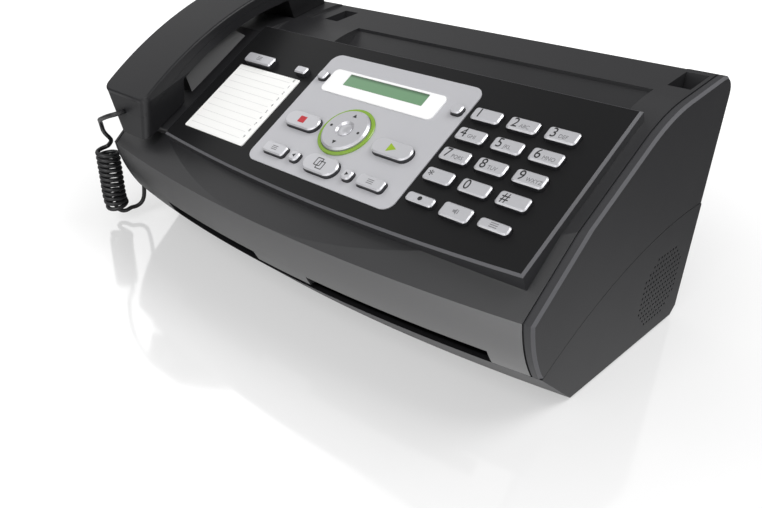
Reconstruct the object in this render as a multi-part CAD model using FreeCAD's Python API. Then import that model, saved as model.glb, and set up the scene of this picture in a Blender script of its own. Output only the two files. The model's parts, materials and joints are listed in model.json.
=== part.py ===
import FreeCAD, Part
import math
import os
from FreeCAD import Placement, Rotation, Vector

# Desktop fax machine with a handset on its left, in millimetres.
# X runs along the width, Y from front to rear, Z up from the table it stands on.

# Layout of the top, from the left side to the right side
HANDSET_BAY = 62.0
PANEL_MARGIN_LEFT = 11.6
CARD_WIDTH = 59.1
CARD_GAP = 9.25
KEYPAD_GAP = 4.05
KEY_WIDTH = 17.6
KEY_PITCH_U = 22.6
PANEL_MARGIN_RIGHT = 17.9
RIGHT_LAND = 11.7

# Casing
FRONT_Y = -98.0
REAR_Y = 96.4
FLOOR_GAP = 1.6
FASCIA_EDGE_Z = 70.0
FASCIA_BULGE = 2.4
LIP_Y = -82.0
LIP_Z = 32.0
TOE_Y = -47.0
BOW_RADIUS = 930.0
BROW_SLOPE = 41.0
PANEL_SLOPE = 31.2
DECK_SLOPE = 7.4
DECK_REAR_Z = 153.8
KNEE_RADIUS = 95.0
REAR_RADIUS = 12.0
REAR_CHAMFER = 5.0
WALL = 2.6
BASE_WALL = 3.0
CHEEK = 5.5
GROOVE = 1.0
EDGE_BEVEL = 1.4
SEAM_FRONT_Y = -63.7
SEAM_MID = (4.4, 64.4)
SEAM_REAR_Z = 77.0
SEAM_GAP = 0.4

# Paper slot, finger tab and rear deck
SLOT_LEFT = -113.6
SLOT_RIGHT = 151.0
SLOT_HEIGHT = 10.0
TAB_LEFT = -13.0
TAB_WIDTH = 46.0
TAB_DEPTH = 9.0
TAB_DROP = 6.5
RIDGE_DROP = 2.0
RIDGE_FRONT_Y = 50.0
CHUTE_INSET_LEFT = 58.0
CHUTE_INSET_RIGHT = 11.3
CHUTE_GAP = 7.0
CHUTE_DEPTH = 16.0
CHUTE_RUN = 23.0
SOCKET_SIZE = (12.5, 22.0, 12.0)
SOCKET_REAR = 16.0
SOCKET_WALL = 2.0
SOCKET_SPAN = 256.0

# Hinge at the rear seam
HINGE_INSET = 1.2
KNUCKLE_RADIUS = 2.8
KNUCKLE_LENGTH = 12.0
KNUCKLE_GAP = 0.4
KNUCKLE_CLEARANCE = 0.5
PIN_RADIUS = 1.2
PIN_CLEARANCE = 0.05
HINGE_X = 118.0

# Control panel, in its own plane: u across, v up the slope, h off the surface
PANEL_RISE = 93.0
PANEL_STEP = 6.5
PANEL_BED = 0.05
PANEL_SKIN = 2.0
PANEL_WALL = 2.4
PANEL_FRONT_V = -71.0
PANEL_REAR_V = 44.0
PANEL_FRONT_RADIUS = 1500.0
PANEL_BEVEL = 1.3
PLATE_DEPTH = 92.4
PLATE_MID_V = -13.0
PLATE_RADIUS = 7.0
SHEET = 0.6
BEZEL_SIZE = (87.5, 18.5)
BEZEL_RADIUS = 3.5
BEZEL_OFFSET_V = 25.3
BEZEL_SHIFT = 3.8
WINDOW_SIZE = (62.0, 9.4)
WINDOW_OFFSET = (0.9, 3.0)
DISPLAY_KEY = (7.0, 6.5)
DISPLAY_KEY_GAPS = (0.95, 7.95)
PLATE_MARGINS = (2.6, 2.6)
CARD_DEPTH = 59.1
CARD_MID_V = -24.0
BOARD = 1.6

# Keys
KEY_CLEARANCE = 0.35
KEY_LIP = 1.1
KEY_FLANGE = 1.2
KEY_REST_GAP = 0.2
KEY_TOP = 3.0
KEY_BEVEL = 0.8
KEY_DEPTH = 8.4
KEY_PITCH_V = 14.9
KEY_RADIUS = 2.0
LOWER_ROW_V = -46.4
NAV_OFFSET = (-4.4, -7.9)
NAV_RADIUS = 15.3
NAV_DISH = 6.0
NAV_DROP = 0.8
NAV_STUB = 0.5
RING_WIDTH = 2.2
RING_HEIGHT = 1.0

# Handset, in its own frame: s along its length, t off its resting line
HANDSET_MID_X = -140.0
HANDSET_V = -75.4
HANDSET_H = -0.4
HANDSET_SLOPE = 21.7
HANDSET_LENGTH = 184.8
HANDSET_TOP_WIDTH = 49.0
HANDSET_FOOT_WIDTH = 33.0
HANDSET_CROWN = 41.5
HANDSET_END = 28.9
HANDSET_LEAN = 7.9
HANDSET_CUP = 37.0
HANDSET_CUP_RISE = 7.0
HANDSET_NECK = 4.0
HANDSET_NECK_T = 24.0
HANDSET_GRIP_T = 30.5
HANDSET_CORNER = 6.0
HANDSET_EDGE = 1.6
HANDSET_SHOULDER = 26.0
HANDSET_WALL = 2.2
HANDSET_SPLIT_END = 14.0
HANDSET_SPLIT_MID = 36.0
HANDSET_SPLIT_GAP = 0.1
CAPSULE_RADIUS = 11.0
CAPSULE_HEIGHT = 6.0
SOUND_HOLE = 1.0
SOUND_PITCH = 5.0

# Cradle
SEAT_GAP = 0.4
SEAT_FRONT_V = -62.0
BAY_GAP = 0.6
HUMP_RANGE_V = (-27.0, 31.0)
HUMP_HEIGHT = 11.0
HUMP_FOOT = 29.0
HUMP_TOP = 18.0
HOOK_SIZE = (9.0, 6.0)
HOOK_S = 20.0
HOOK_TRAVEL = 4.0
HOOK_CLEARANCE = 0.3
HOOK_DROP = 3.0

# Speaker holes in the right side
GRILLE_Y = 62.0
GRILLE_Z = 34.0
GRILLE_RADIUS = 25.0
GRILLE_PITCH = 3.6
GRILLE_HOLE = 0.85

# Mechanism
FRAME_X = 138.0
FRAME_PLATE = 2.0
FRAME_FOOT = 12.0
FRAME_FRONT_Y = -50.0
FRAME_TOE_Y = -22.0
FRAME_REAR_Y = 62.0
FRAME_TOP_Z = 70.0
SHAFT = 3.0
SHAFT_CLEARANCE = 0.05
ROLL_HALF = 108.0
PLATEN_AT = (-28.0, 52.0)
PLATEN_RADIUS = 9.0
SUPPLY_AT = (38.0, 36.0)
SUPPLY_RADIUS = 18.0
TAKEUP_AT = (8.0, 59.0)
TAKEUP_RADIUS = 13.0
GEAR_MODULE = 1.0
PLATEN_TEETH = 32
PINION_TEETH = 12
GEAR_WIDTH = 6.0
GEAR_GAP = 1.0
GEAR_BACKLASH = 0.3
PINION_ANGLE = -20.0
MOTOR_RADIUS = 12.0
MOTOR_LENGTH = 22.0
MOTOR_SHAFT = 2.5
HEAD_SIZE = (18.0, 12.0)
PAPER_GAP = 0.3
BOSS_RADIUS = 3.5
BOSS_HEIGHT = 4.4
SCREW_RADIUS = 1.2
SCREW_HEAD = 2.6
SCREW_HEAD_HEIGHT = 1.8
SCREW_CLEARANCE = 0.1
MAIN_BOARD = (200.0, 84.0)
MAIN_BOARD_MID = (-8.0, 12.0)
SUPPLY_BOARD = (20.0, 84.0)
SUPPLY_BOARD_MID_Y = 8.0
CHIP_HEIGHTS = (2.4, 2.0, 6.0)
TRANSFORMER_HEIGHT = 22.0
CAPACITOR_HEIGHT = 18.0
SPEAKER_DEPTH = 17.0
SPEAKER_FRAME = 2.0
SCANNER_SIZE = (220.0, 20.0, 14.0)
SCANNER_V = -10.0
SCANNER_EAR = 3.0
FEED_RADIUS = 7.0
FEED_SHAFT = 2.5
FEED_STEP = 20.0

# Feet, rear sockets and the jack in the left cheek
FOOT_RADIUS = 7.0
FOOT_POCKET = 1.0
FOOT_X = 150.0
FOOT_FRONT_Y = -18.0
FOOT_REAR_Y = 76.0
INLET_SIZE = (22.0, 16.0, 13.0)
INLET_INSET = 25.0
INLET_Z = 24.0
INLET_FLANGE = 1.0
LINE_SIZE = (13.0, 15.0, 14.0)
LINE_HOLE = (10.0, 12.0, 9.0)
LINE_INSET = 73.0
LINE_Z = 24.0
LINE_PITCH = 18.0
FIT_GAP = 0.2
JACK_Y = -58.0
JACK_Z = 58.0
PLUG_SIZE = (13.0, 7.7, 6.6)
PLUG_PROUD = 4.0

# Curly cord: one hanging coil, with a plain lead at each end
CORD_WIRE = 3.2
COIL_RADIUS = 7.5
COIL_PITCH = 3.85
COIL_TURNS = 12.5
COIL_TOP = (-195.2, -77.4, 57.0)
LEAD_RISE = (-188.0, -54.0, 32.0)
CORD_EXIT_T = 16.0
CORD_EXIT_DX = -4.0

# Values worked out from the sizes above
KEYPAD_WIDTH = 2 * KEY_PITCH_U + KEY_WIDTH
PLATE_WIDTH = sum(PLATE_MARGINS) + 2 * DISPLAY_KEY[0] + sum(DISPLAY_KEY_GAPS) + BEZEL_SIZE[0]
PANEL_WIDTH = (
    PANEL_MARGIN_LEFT + CARD_WIDTH + CARD_GAP + PLATE_WIDTH + KEYPAD_GAP + KEYPAD_WIDTH + PANEL_MARGIN_RIGHT
)
HALF = (HANDSET_BAY + PANEL_WIDTH + RIGHT_LAND) / 2
INNER_HALF = HALF - CHEEK
INLET_AT = (INLET_INSET - HALF, INLET_Z)
LINE_AT = (LINE_INSET - HALF, LINE_Z)
PANEL_LEFT = HANDSET_BAY - HALF
PANEL_RIGHT = PANEL_LEFT + PANEL_WIDTH
CARD_MID = PANEL_LEFT + PANEL_MARGIN_LEFT + CARD_WIDTH / 2
PLATE_LEFT = CARD_MID + CARD_WIDTH / 2 + CARD_GAP
PLATE_MID = PLATE_LEFT + PLATE_WIDTH / 2
BEZEL_MID = PLATE_LEFT + PLATE_MARGINS[0] + DISPLAY_KEY[0] + DISPLAY_KEY_GAPS[0] + BEZEL_SIZE[0] / 2
PLATE_AXIS = BEZEL_MID + BEZEL_SHIFT
KEYPAD_MID = PLATE_LEFT + PLATE_WIDTH + KEYPAD_GAP + KEYPAD_WIDTH / 2
SLOPE = math.radians(PANEL_SLOPE)
PANEL_Y = FRONT_Y + PANEL_RISE * math.cos(SLOPE) - PANEL_STEP * math.sin(SLOPE)
PANEL_Z = FASCIA_EDGE_Z + PANEL_RISE * math.sin(SLOPE) + PANEL_STEP * math.cos(SLOPE)
KEY_SEAT = -PANEL_SKIN - KEY_REST_GAP
HINGE_Y = REAR_Y - HINGE_INSET
HINGE_Z = SEAM_REAR_Z
FLOOR_TOP = FLOOR_GAP + BASE_WALL
FAR = 400.0


def vec_yz(point, x=0.0):
    """A point of the side view, at a place across the width."""
    return Vector(x, point[0], point[1])


def deck_z(y, drop=0.0):
    """Height of the rear deck at a depth, less a drop square to it."""
    slope = math.radians(DECK_SLOPE)
    return DECK_REAR_Z + (y - REAR_Y) * math.tan(slope) - drop / math.cos(slope)


def top_z(y, drop=0.0):
    """Height of the sloping top, under the panel, at a depth."""
    return FASCIA_EDGE_Z + (y - FRONT_Y) * math.tan(SLOPE) - drop / math.cos(SLOPE)


def knee_y(drop=0.0, deck_drop=0.0):
    """Depth at which the sloping top meets the rear deck."""
    rise = deck_z(0.0, deck_drop) - top_z(0.0, drop)
    return rise / (math.tan(SLOPE) - math.tan(math.radians(DECK_SLOPE)))


def rounded_wire(points, radii):
    """Closed wire through 2-D corners in the side view, each rounded by its radius."""
    count = len(points)
    starts = []
    ends = []
    mids = []
    for i in range(count):
        corner = vec_yz(points[i])
        before = vec_yz(points[i - 1]).sub(corner).normalize()
        after = vec_yz(points[(i + 1) % count]).sub(corner).normalize()
        half = before.getAngle(after) / 2
        reach = radii[i] / math.tan(half)
        starts.append(corner.add(before.multiply(reach)))
        ends.append(corner.add(after.multiply(reach)))
        bisector = starts[i].sub(corner).add(ends[i].sub(corner))
        if radii[i] > 0:
            depth = radii[i] / math.sin(half) - radii[i]
            mids.append(corner.add(bisector.normalize().multiply(depth)))
        else:
            mids.append(corner)
    edges = []
    for i in range(count):
        if radii[i] > 0:
            edges.append(Part.Arc(starts[i], mids[i], ends[i]).toShape())
        edges.append(Part.LineSegment(ends[i], starts[(i + 1) % count]).toShape())
    return Part.Wire(edges)


def prism_x(points, x0, x1, radii=None):
    """Side-view polygon carried across the width from x0 to x1."""
    wire = rounded_wire(points, radii or [0.0] * len(points))
    wire.translate(Vector(x0, 0, 0))
    return Part.Face(wire).extrude(Vector(x1 - x0, 0, 0))


def arc_prism_x(points, mids, x0, x1):
    """Side-view outline carried across the width, where mids holds a point on each side that is an arc."""
    edges = []
    for i in range(len(points)):
        start = vec_yz(points[i], x0)
        end = vec_yz(points[(i + 1) % len(points)], x0)
        if i in mids:
            edges.append(Part.Arc(start, vec_yz(mids[i], x0), end).toShape())
        else:
            edges.append(Part.LineSegment(start, end).toShape())
    return Part.Face(Part.Wire(edges)).extrude(Vector(x1 - x0, 0, 0))


def box(x0, x1, y0, y1, z0, z1):
    """Box between two corners."""
    return Part.makeBox(x1 - x0, y1 - y0, z1 - z0, Vector(x0, y0, z0))


def rod_x(y, z, radius, x0, x1):
    """Cylinder along the width."""
    return Part.makeCylinder(radius, x1 - x0, Vector(x0, y, z), Vector(1, 0, 0))


def on_panel(shape):
    """A shape drawn in u, v and h, set on the panel's plane."""
    frame = Placement(Vector(0, PANEL_Y, PANEL_Z), Rotation(Vector(1, 0, 0), PANEL_SLOPE))
    placed = shape.copy()
    placed.Placement = frame.multiply(shape.Placement)
    return placed


def panel_point(u, v, h):
    """Place in the row frame of a point on the panel."""
    return Vector(
        u,
        PANEL_Y + v * math.cos(SLOPE) - h * math.sin(SLOPE),
        PANEL_Z + v * math.sin(SLOPE) + h * math.cos(SLOPE),
    )


def rounded_rectangle(u, v, width, depth, radius, h):
    """Closed wire of a rounded rectangle at a height."""
    a = width / 2
    b = depth / 2
    wire = rounded_wire([(-a, -b), (a, -b), (a, b), (-a, b)], [radius] * 4)
    wire.rotate(Vector(0, 0, 0), Vector(1, 1, 1), -120)
    wire.translate(Vector(u, v, h))
    return wire


def slab(u, v, width, depth, radius, h0, h1):
    """Rounded rectangle in the panel's plane, from h0 to h1."""
    return Part.Face(rounded_rectangle(u, v, width, depth, radius, h0)).extrude(Vector(0, 0, h1 - h0))


def bevel_top(shape, height, size):
    """Bevel of every edge that lies wholly at a height."""
    edges = [e for e in shape.Edges if abs(e.BoundBox.ZMin - height) < 1e-6 and abs(e.BoundBox.ZMax - height) < 1e-6]
    return shape.makeChamfer(size, edges)


# The casing's outer form: a side view carried across the width, cut by a front bowed in plan


def envelope(inset=0.0, deck_drop=0.0):
    """The casing's outer form, drawn in by an inset on every face, and further at the deck."""
    rear = REAR_Y - inset
    floor = FLOOR_GAP + inset
    knee = knee_y(inset, inset + deck_drop)
    ahead = FRONT_Y - 20
    side = [
        (ahead, floor),
        (rear - REAR_CHAMFER, floor),
        (rear, floor + REAR_CHAMFER),
        (rear, deck_z(rear, inset + deck_drop)),
        (knee, top_z(knee, inset)),
        (ahead, top_z(ahead, inset)),
    ]
    radii = [0, 0, 0, REAR_RADIUS - inset, KNEE_RADIUS - inset, 0]
    body = prism_x(side, -HALF, HALF, radii)
    return body.common(front_form(inset))


def front_form(inset):
    """Solid behind the bowed front: lip, fascia and brow turned about a far upright axis."""
    brow = math.radians(BROW_SLOPE)
    reach = 150.0
    behind = REAR_Y + 40
    lean = math.atan2(LIP_Y - TOE_Y, LIP_Z - FLOOR_GAP)
    shift = inset / math.cos(lean)
    toe = (TOE_Y + shift, FLOOR_GAP)
    lip = (LIP_Y + shift, LIP_Z)
    edge = (FRONT_Y + inset, FASCIA_EDGE_Z - inset * math.tan(brow / 2))
    crest = (edge[0] + reach * math.cos(brow), edge[1] + reach * math.sin(brow))
    corners = [toe, (behind, FLOOR_GAP), (behind, crest[1]), crest, edge, lip]
    middle = ((edge[0] + lip[0]) / 2 - FASCIA_BULGE, (edge[1] + lip[1]) / 2)
    edges = []
    for i in range(len(corners)):
        start = vec_yz(corners[i])
        end = vec_yz(corners[(i + 1) % len(corners)])
        if corners[i] == edge:
            edges.append(Part.Arc(start, vec_yz(middle), end).toShape())
        else:
            edges.append(Part.LineSegment(start, end).toShape())
    sweep = math.degrees(math.asin((HALF + 20) / (FRONT_Y + BOW_RADIUS - behind)))
    axis = Vector(0, FRONT_Y + BOW_RADIUS, 0)
    face = Part.Face(Part.Wire(edges))
    face.rotate(axis, Vector(0, 0, 1), -sweep)
    return face.revolve(axis, Vector(0, 0, 1), 2 * sweep)


def seam_region(above):
    """Everything above or below the seam between the cover and the base."""
    offset = SEAM_GAP / 2 if above else -SEAM_GAP / 2
    end = FAR if above else -FAR
    points = [
        (-FAR, LIP_Z + offset),
        (SEAM_FRONT_Y, LIP_Z + offset),
        (REAR_Y, SEAM_REAR_Z + offset),
        (FAR, SEAM_REAR_Z + offset),
        (FAR, end),
        (-FAR, end),
    ]
    return arc_prism_x(points, {1: (SEAM_MID[0], SEAM_MID[1] + offset)}, -FAR, FAR)


def hinge_groove():
    """V along the rear seam that lets the cover's rear edge turn past the base's."""
    depth = HINGE_INSET + 2 * PIN_CLEARANCE
    flare = depth + SEAM_GAP
    points = [
        (HINGE_Y - 2 * PIN_CLEARANCE, HINGE_Z),
        (REAR_Y + 1, HINGE_Z - flare - 1),
        (REAR_Y + 1, HINGE_Z + flare + 1),
    ]
    return prism_x(points, -FAR, FAR)


def knuckles(side_offset):
    """Two hinge barrels, each starting at an offset from its hinge's middle."""
    barrels = []
    for middle in (-HINGE_X, HINGE_X):
        start = middle + side_offset
        barrels.append(rod_x(HINGE_Y, HINGE_Z, KNUCKLE_RADIUS, start, start + KNUCKLE_LENGTH))
    return barrels


BASE_KNUCKLE = -KNUCKLE_LENGTH - KNUCKLE_GAP / 2
COVER_KNUCKLE = KNUCKLE_GAP / 2


def knuckle_notches(side_offset):
    """Room in a wall for the other piece's hinge barrels."""
    reach = KNUCKLE_RADIUS + KNUCKLE_CLEARANCE
    notches = []
    for middle in (-HINGE_X, HINGE_X):
        start = middle + side_offset - KNUCKLE_GAP
        notches.append(
            box(
                start,
                start + KNUCKLE_LENGTH + 2 * KNUCKLE_GAP,
                REAR_Y - WALL - BASE_WALL,
                REAR_Y + reach,
                HINGE_Z - reach,
                HINGE_Z + reach,
            )
        )
    return notches


def pin_holes():
    """Bores through the hinge barrels."""
    length = 2 * KNUCKLE_LENGTH + 4 * KNUCKLE_GAP
    return [
        rod_x(HINGE_Y, HINGE_Z, PIN_RADIUS + PIN_CLEARANCE, x - length / 2, x + length / 2)
        for x in (-HINGE_X, HINGE_X)
    ]


def make_hinge_pins():
    """Steel pins through the hinge barrels, one at each hinge."""
    length = 2 * KNUCKLE_LENGTH
    return [rod_x(HINGE_Y, HINGE_Z, PIN_RADIUS, x - length / 2, x + length / 2) for x in (-HINGE_X, HINGE_X)]


# Base


def board_points():
    """Places of the four posts under the main board."""
    a = MAIN_BOARD[0] / 2 - 6
    b = MAIN_BOARD[1] / 2 - 6
    x, y = MAIN_BOARD_MID
    return [(x + i * a, y + j * b) for i in (-1, 1) for j in (-1, 1)]


def supply_mid_x():
    """Middle of the power supply, between the frame plate and the left wall."""
    return -(HALF - BASE_WALL + FRAME_X + FRAME_PLATE) / 2 - FRAME_PLATE


def supply_points():
    """Places of the two posts under the power supply."""
    reach = SUPPLY_BOARD[1] / 2 - 6
    return [(supply_mid_x(), SUPPLY_BOARD_MID_Y - reach), (supply_mid_x(), SUPPLY_BOARD_MID_Y + reach)]


def frame_foot_points():
    """Screw places in the feet of the two frame plates."""
    x = FRAME_X + FRAME_PLATE + FRAME_FOOT / 2
    return [(i * x, y) for i in (-1, 1) for y in (FRAME_TOE_Y + 8, FRAME_REAR_Y - 8)]


def foot_points():
    """Places of the rubber feet."""
    return [(i * FOOT_X, y) for i in (-1, 1) for y in (FOOT_FRONT_Y, FOOT_REAR_Y)]


def grille_holes():
    """Round field of small holes through the right side."""
    holes = []
    count = int(GRILLE_RADIUS / GRILLE_PITCH)
    for i in range(-count, count + 1):
        for j in range(-count, count + 1):
            if math.hypot(i, j) * GRILLE_PITCH <= GRILLE_RADIUS:
                y = GRILLE_Y + i * GRILLE_PITCH
                z = GRILLE_Z + j * GRILLE_PITCH
                holes.append(rod_x(y, z, GRILLE_HOLE, HALF - BASE_WALL - 1, HALF + 1))
    return holes


def make_base_shell(form, hollow):
    """Lower casing: an open tray with posts, speaker holes, hinge barrels and rear cut-outs."""
    shell = form.common(seam_region(False))
    inside = hollow.common(box(-HALF + BASE_WALL, HALF - BASE_WALL, -FAR, FAR, -FAR, FAR))
    shell = shell.cut(inside)
    shell = shell.cut([hinge_groove()] + knuckle_notches(COVER_KNUCKLE))
    shell = shell.fuse(knuckles(BASE_KNUCKLE))
    posts = [
        Part.makeCylinder(BOSS_RADIUS, BOSS_HEIGHT, Vector(x, y, FLOOR_TOP))
        for x, y in board_points() + supply_points()
    ]
    shell = shell.fuse(posts)
    bores = [
        Part.makeCylinder(SCREW_RADIUS + SCREW_CLEARANCE, BOSS_HEIGHT + 1, Vector(x, y, FLOOR_TOP))
        for x, y in board_points() + supply_points()
    ]
    bores += [
        Part.makeCylinder(SCREW_RADIUS + SCREW_CLEARANCE, BASE_WALL, Vector(x, y, FLOOR_TOP - BASE_WALL / 2))
        for x, y in frame_foot_points()
    ]
    pockets = [
        Part.makeCylinder(FOOT_RADIUS, FOOT_POCKET, Vector(x, y, FLOOR_GAP)) for x, y in foot_points()
    ]
    return shell.cut(bores + pockets + pin_holes() + grille_holes() + rear_cutouts())


def rear_cutouts():
    """Holes in the rear wall for the mains inlet and the line sockets."""
    width, depth, height = INLET_SIZE
    x, z = INLET_AT
    cuts = [centred_box(x, z, width + 2 * FIT_GAP, height + 2 * FIT_GAP, REAR_Y - 2 * BASE_WALL, REAR_Y + 2)]
    width, depth, height = LINE_SIZE
    for x, z in line_points():
        cuts.append(
            centred_box(x, z, width + 2 * FIT_GAP, height + 2 * FIT_GAP, REAR_Y - 2 * BASE_WALL, REAR_Y + 2)
        )
    return cuts


def centred_box(x, z, width, height, y0, y1):
    """Box centred on a place of the rear view."""
    return box(x - width / 2, x + width / 2, y0, y1, z - height / 2, z + height / 2)


def line_points():
    """Places of the two telephone line sockets in the rear view."""
    return [(LINE_AT[0] + i * LINE_PITCH, LINE_AT[1]) for i in (0, 1)]


def make_mains_inlet():
    """Two-pin mains inlet: a flanged housing with a figure-eight well and its pins."""
    width, depth, height = INLET_SIZE
    x, z = INLET_AT
    body = centred_box(x, z, width, height, REAR_Y - depth, REAR_Y)
    flange = centred_box(x, z, width + 4, height + 4, REAR_Y, REAR_Y + INLET_FLANGE)
    housing = body.fuse(flange)
    reach = height / 2 - 2
    well_depth = depth - 4
    spread = width / 2 - 2 - reach
    out = Vector(0, 1, 0)
    start = REAR_Y + INLET_FLANGE - well_depth
    wells = [Part.makeCylinder(reach, well_depth + 1, Vector(x + i * spread, start, z), out) for i in (-1, 1)]
    wells.append(centred_box(x, z, 2 * spread, reach, start, start + well_depth + 1))
    pins = [Part.makeCylinder(1.2, well_depth - 2, Vector(x + i * spread, start, z), out) for i in (-1, 1)]
    return housing.cut(wells).fuse(pins).removeSplitter()


def make_line_sockets():
    """Two modular telephone sockets, open to the rear."""
    width, depth, height = LINE_SIZE
    hole_width, hole_depth, hole_height = LINE_HOLE
    sockets = []
    for x, z in line_points():
        body = centred_box(x, z, width, height, REAR_Y - depth, REAR_Y)
        hole = centred_box(x, z, hole_width, hole_height, REAR_Y - hole_depth, REAR_Y + 1)
        latch = box(x - 2, x + 2, REAR_Y - hole_depth, REAR_Y + 1, z - hole_height / 2 - 1.2, z)
        sockets.append(body.cut([hole, latch]))
    return sockets


def make_rubber_feet():
    """Rubber discs in pockets of the underside."""
    return [Part.makeCylinder(FOOT_RADIUS - 0.1, FLOOR_GAP + FOOT_POCKET, Vector(x, y, 0)) for x, y in foot_points()]


def screw(x, y, seat_z, length):
    """Pan-head screw standing with its head on a seat."""
    shank = Part.makeCylinder(SCREW_RADIUS, length, Vector(x, y, seat_z - length))
    head = Part.makeCylinder(SCREW_HEAD, SCREW_HEAD_HEIGHT, Vector(x, y, seat_z))
    slot = box(x - SCREW_HEAD, x + SCREW_HEAD, y - 0.4, y + 0.4, seat_z + SCREW_HEAD_HEIGHT - 0.8, seat_z + 9)
    return shank.fuse(head).cut(slot)


def make_base_screws():
    """Screws of the boards and of the frame plates' feet."""
    board_seat = FLOOR_TOP + BOSS_HEIGHT + BOARD
    screws = [screw(x, y, board_seat, BOSS_HEIGHT) for x, y in board_points() + supply_points()]
    foot_seat = FLOOR_TOP + FRAME_PLATE
    screws += [screw(x, y, foot_seat, FRAME_PLATE + BASE_WALL / 2 - 0.1) for x, y in frame_foot_points()]
    return screws


def board_plate(x, y, size, holes):
    """Circuit board on its posts, with clearance holes for the screws."""
    z = FLOOR_TOP + BOSS_HEIGHT
    plate = box(x - size[0] / 2, x + size[0] / 2, y - size[1] / 2, y + size[1] / 2, z, z + BOARD)
    cuts = [
        Part.makeCylinder(SCREW_RADIUS + SCREW_CLEARANCE, 3 * BOARD, Vector(px, py, z - BOARD)) for px, py in holes
    ]
    return plate.cut(cuts)


def make_main_board():
    """Main circuit board with its processor, memory chips and a row of connectors."""
    x, y = MAIN_BOARD_MID
    z = FLOOR_TOP + BOSS_HEIGHT + BOARD
    board = board_plate(x, y, MAIN_BOARD, board_points())
    a, b = MAIN_BOARD
    places = [(-0.25, -0.11, -0.17, 0.17, 0)]
    places += [(0.1 * i - 0.04, 0.1 * i + 0.03, -0.12, 0.0, 1) for i in range(3)]
    places += [(0.12 * i - 0.1, 0.12 * i - 0.02, 0.26, 0.36, 2) for i in range(4)]
    chips = [
        box(x + x0 * a, x + x1 * a, y + y0 * b, y + y1 * b, z, z + CHIP_HEIGHTS[kind])
        for x0, x1, y0, y1, kind in places
    ]
    return [board] + chips


def make_power_supply():
    """Power supply board with its transformer and smoothing capacitors."""
    x = supply_mid_x()
    y = SUPPLY_BOARD_MID_Y
    z = FLOOR_TOP + BOSS_HEIGHT + BOARD
    board = board_plate(x, y, SUPPLY_BOARD, supply_points())
    a, b = SUPPLY_BOARD
    parts = [board, box(x - 0.4 * a, x + 0.4 * a, y - 0.31 * b, y + 0.02 * b, z, z + TRANSFORMER_HEIGHT)]
    parts += [
        Part.makeCylinder(0.3 * a, CAPACITOR_HEIGHT, Vector(x, y + (0.14 + 0.17 * i) * b, z)) for i in range(2)
    ]
    return parts


def make_loudspeaker():
    """Loudspeaker behind the holes: round frame with a cone opening, basket and magnet."""
    x1 = HALF - BASE_WALL
    at = (GRILLE_Y, GRILLE_Z)
    frame = rod_x(*at, GRILLE_RADIUS + 1, x1 - SPEAKER_FRAME, x1)
    depth = SPEAKER_DEPTH - SPEAKER_FRAME
    basket = Part.makeCone(
        GRILLE_RADIUS - 2, GRILLE_RADIUS / 2, depth * 0.6, Vector(x1 - SPEAKER_FRAME, *at), Vector(-1, 0, 0)
    )
    magnet = rod_x(*at, GRILLE_RADIUS / 2, x1 - SPEAKER_DEPTH, x1 - SPEAKER_FRAME - depth * 0.6)
    cone = Part.makeCone(GRILLE_RADIUS - 4, GRILLE_RADIUS / 4, 6, Vector(x1, *at), Vector(-1, 0, 0))
    return frame.fuse([basket, magnet]).cut(cone)


# Mechanism between the two frame plates


def pinion_at():
    """Axis of the motor, one gear mesh from the platen."""
    spread = GEAR_MODULE * (PLATEN_TEETH + PINION_TEETH) / 2
    angle = math.radians(PINION_ANGLE)
    return (PLATEN_AT[0] + spread * math.cos(angle), PLATEN_AT[1] + spread * math.sin(angle))


def make_frame_plates():
    """Two upright steel plates with turned-out feet and the bores of every shaft."""
    plates = []
    for side in (-1, 1):
        inner = FRAME_X if side > 0 else -FRAME_X - FRAME_PLATE
        outline = [
            (FRAME_FRONT_Y, LIP_Z),
            (FRAME_TOE_Y, FLOOR_TOP),
            (FRAME_REAR_Y, FLOOR_TOP),
            (FRAME_REAR_Y, SUPPLY_AT[1] + SUPPLY_RADIUS),
            (TAKEUP_AT[0] + TAKEUP_RADIUS, FRAME_TOP_Z),
            (FRAME_FRONT_Y, FRAME_TOP_Z),
        ]
        plate = prism_x(outline, inner, inner + FRAME_PLATE, [4, 0, 0, 6, 6, 6])
        foot_inner = FRAME_X if side > 0 else -FRAME_X - FRAME_PLATE - FRAME_FOOT
        foot = box(
            foot_inner,
            foot_inner + FRAME_PLATE + FRAME_FOOT,
            FRAME_TOE_Y,
            FRAME_REAR_Y,
            FLOOR_TOP,
            FLOOR_TOP + FRAME_PLATE,
        )
        plate = plate.fuse(foot)
        bores = [
            rod_x(y, z, SHAFT + SHAFT_CLEARANCE, inner - 1, inner + FRAME_PLATE + 1)
            for y, z in (PLATEN_AT, SUPPLY_AT, TAKEUP_AT)
        ]
        bores += [
            Part.makeCylinder(SCREW_RADIUS + SCREW_CLEARANCE, 9, Vector(x, y, FLOOR_TOP - 1))
            for x, y in frame_foot_points()
        ]
        if side > 0:
            y, z = pinion_at()
            bores.append(rod_x(y, z, MOTOR_SHAFT + 4 * SHAFT_CLEARANCE, inner - 1, inner + FRAME_PLATE + 1))
        plates.append(plate.cut(bores).removeSplitter())
    return plates


def gear(at, teeth, turn, x0, x1):
    """Spur gear with straight-sided teeth, thinned by the backlash."""
    pitch = GEAR_MODULE * teeth / 2
    root = pitch - 1.25 * GEAR_MODULE
    tip = pitch + 0.9 * GEAR_MODULE
    step = 2 * math.pi / teeth
    thin = GEAR_BACKLASH / pitch / 2
    points = []
    for i in range(teeth):
        middle = turn + i * step
        for radius, share in ((root, -0.36), (tip, -0.13), (tip, 0.13), (root, 0.36)):
            angle = middle + share * step - math.copysign(thin, share)
            points.append((at[0] + radius * math.cos(angle), at[1] + radius * math.sin(angle)))
    return prism_x(points, x0, x1)


def gear_span():
    """Where the gears run, outside the right frame plate."""
    start = FRAME_X + FRAME_PLATE + GEAR_GAP
    return start, start + GEAR_WIDTH


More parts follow.
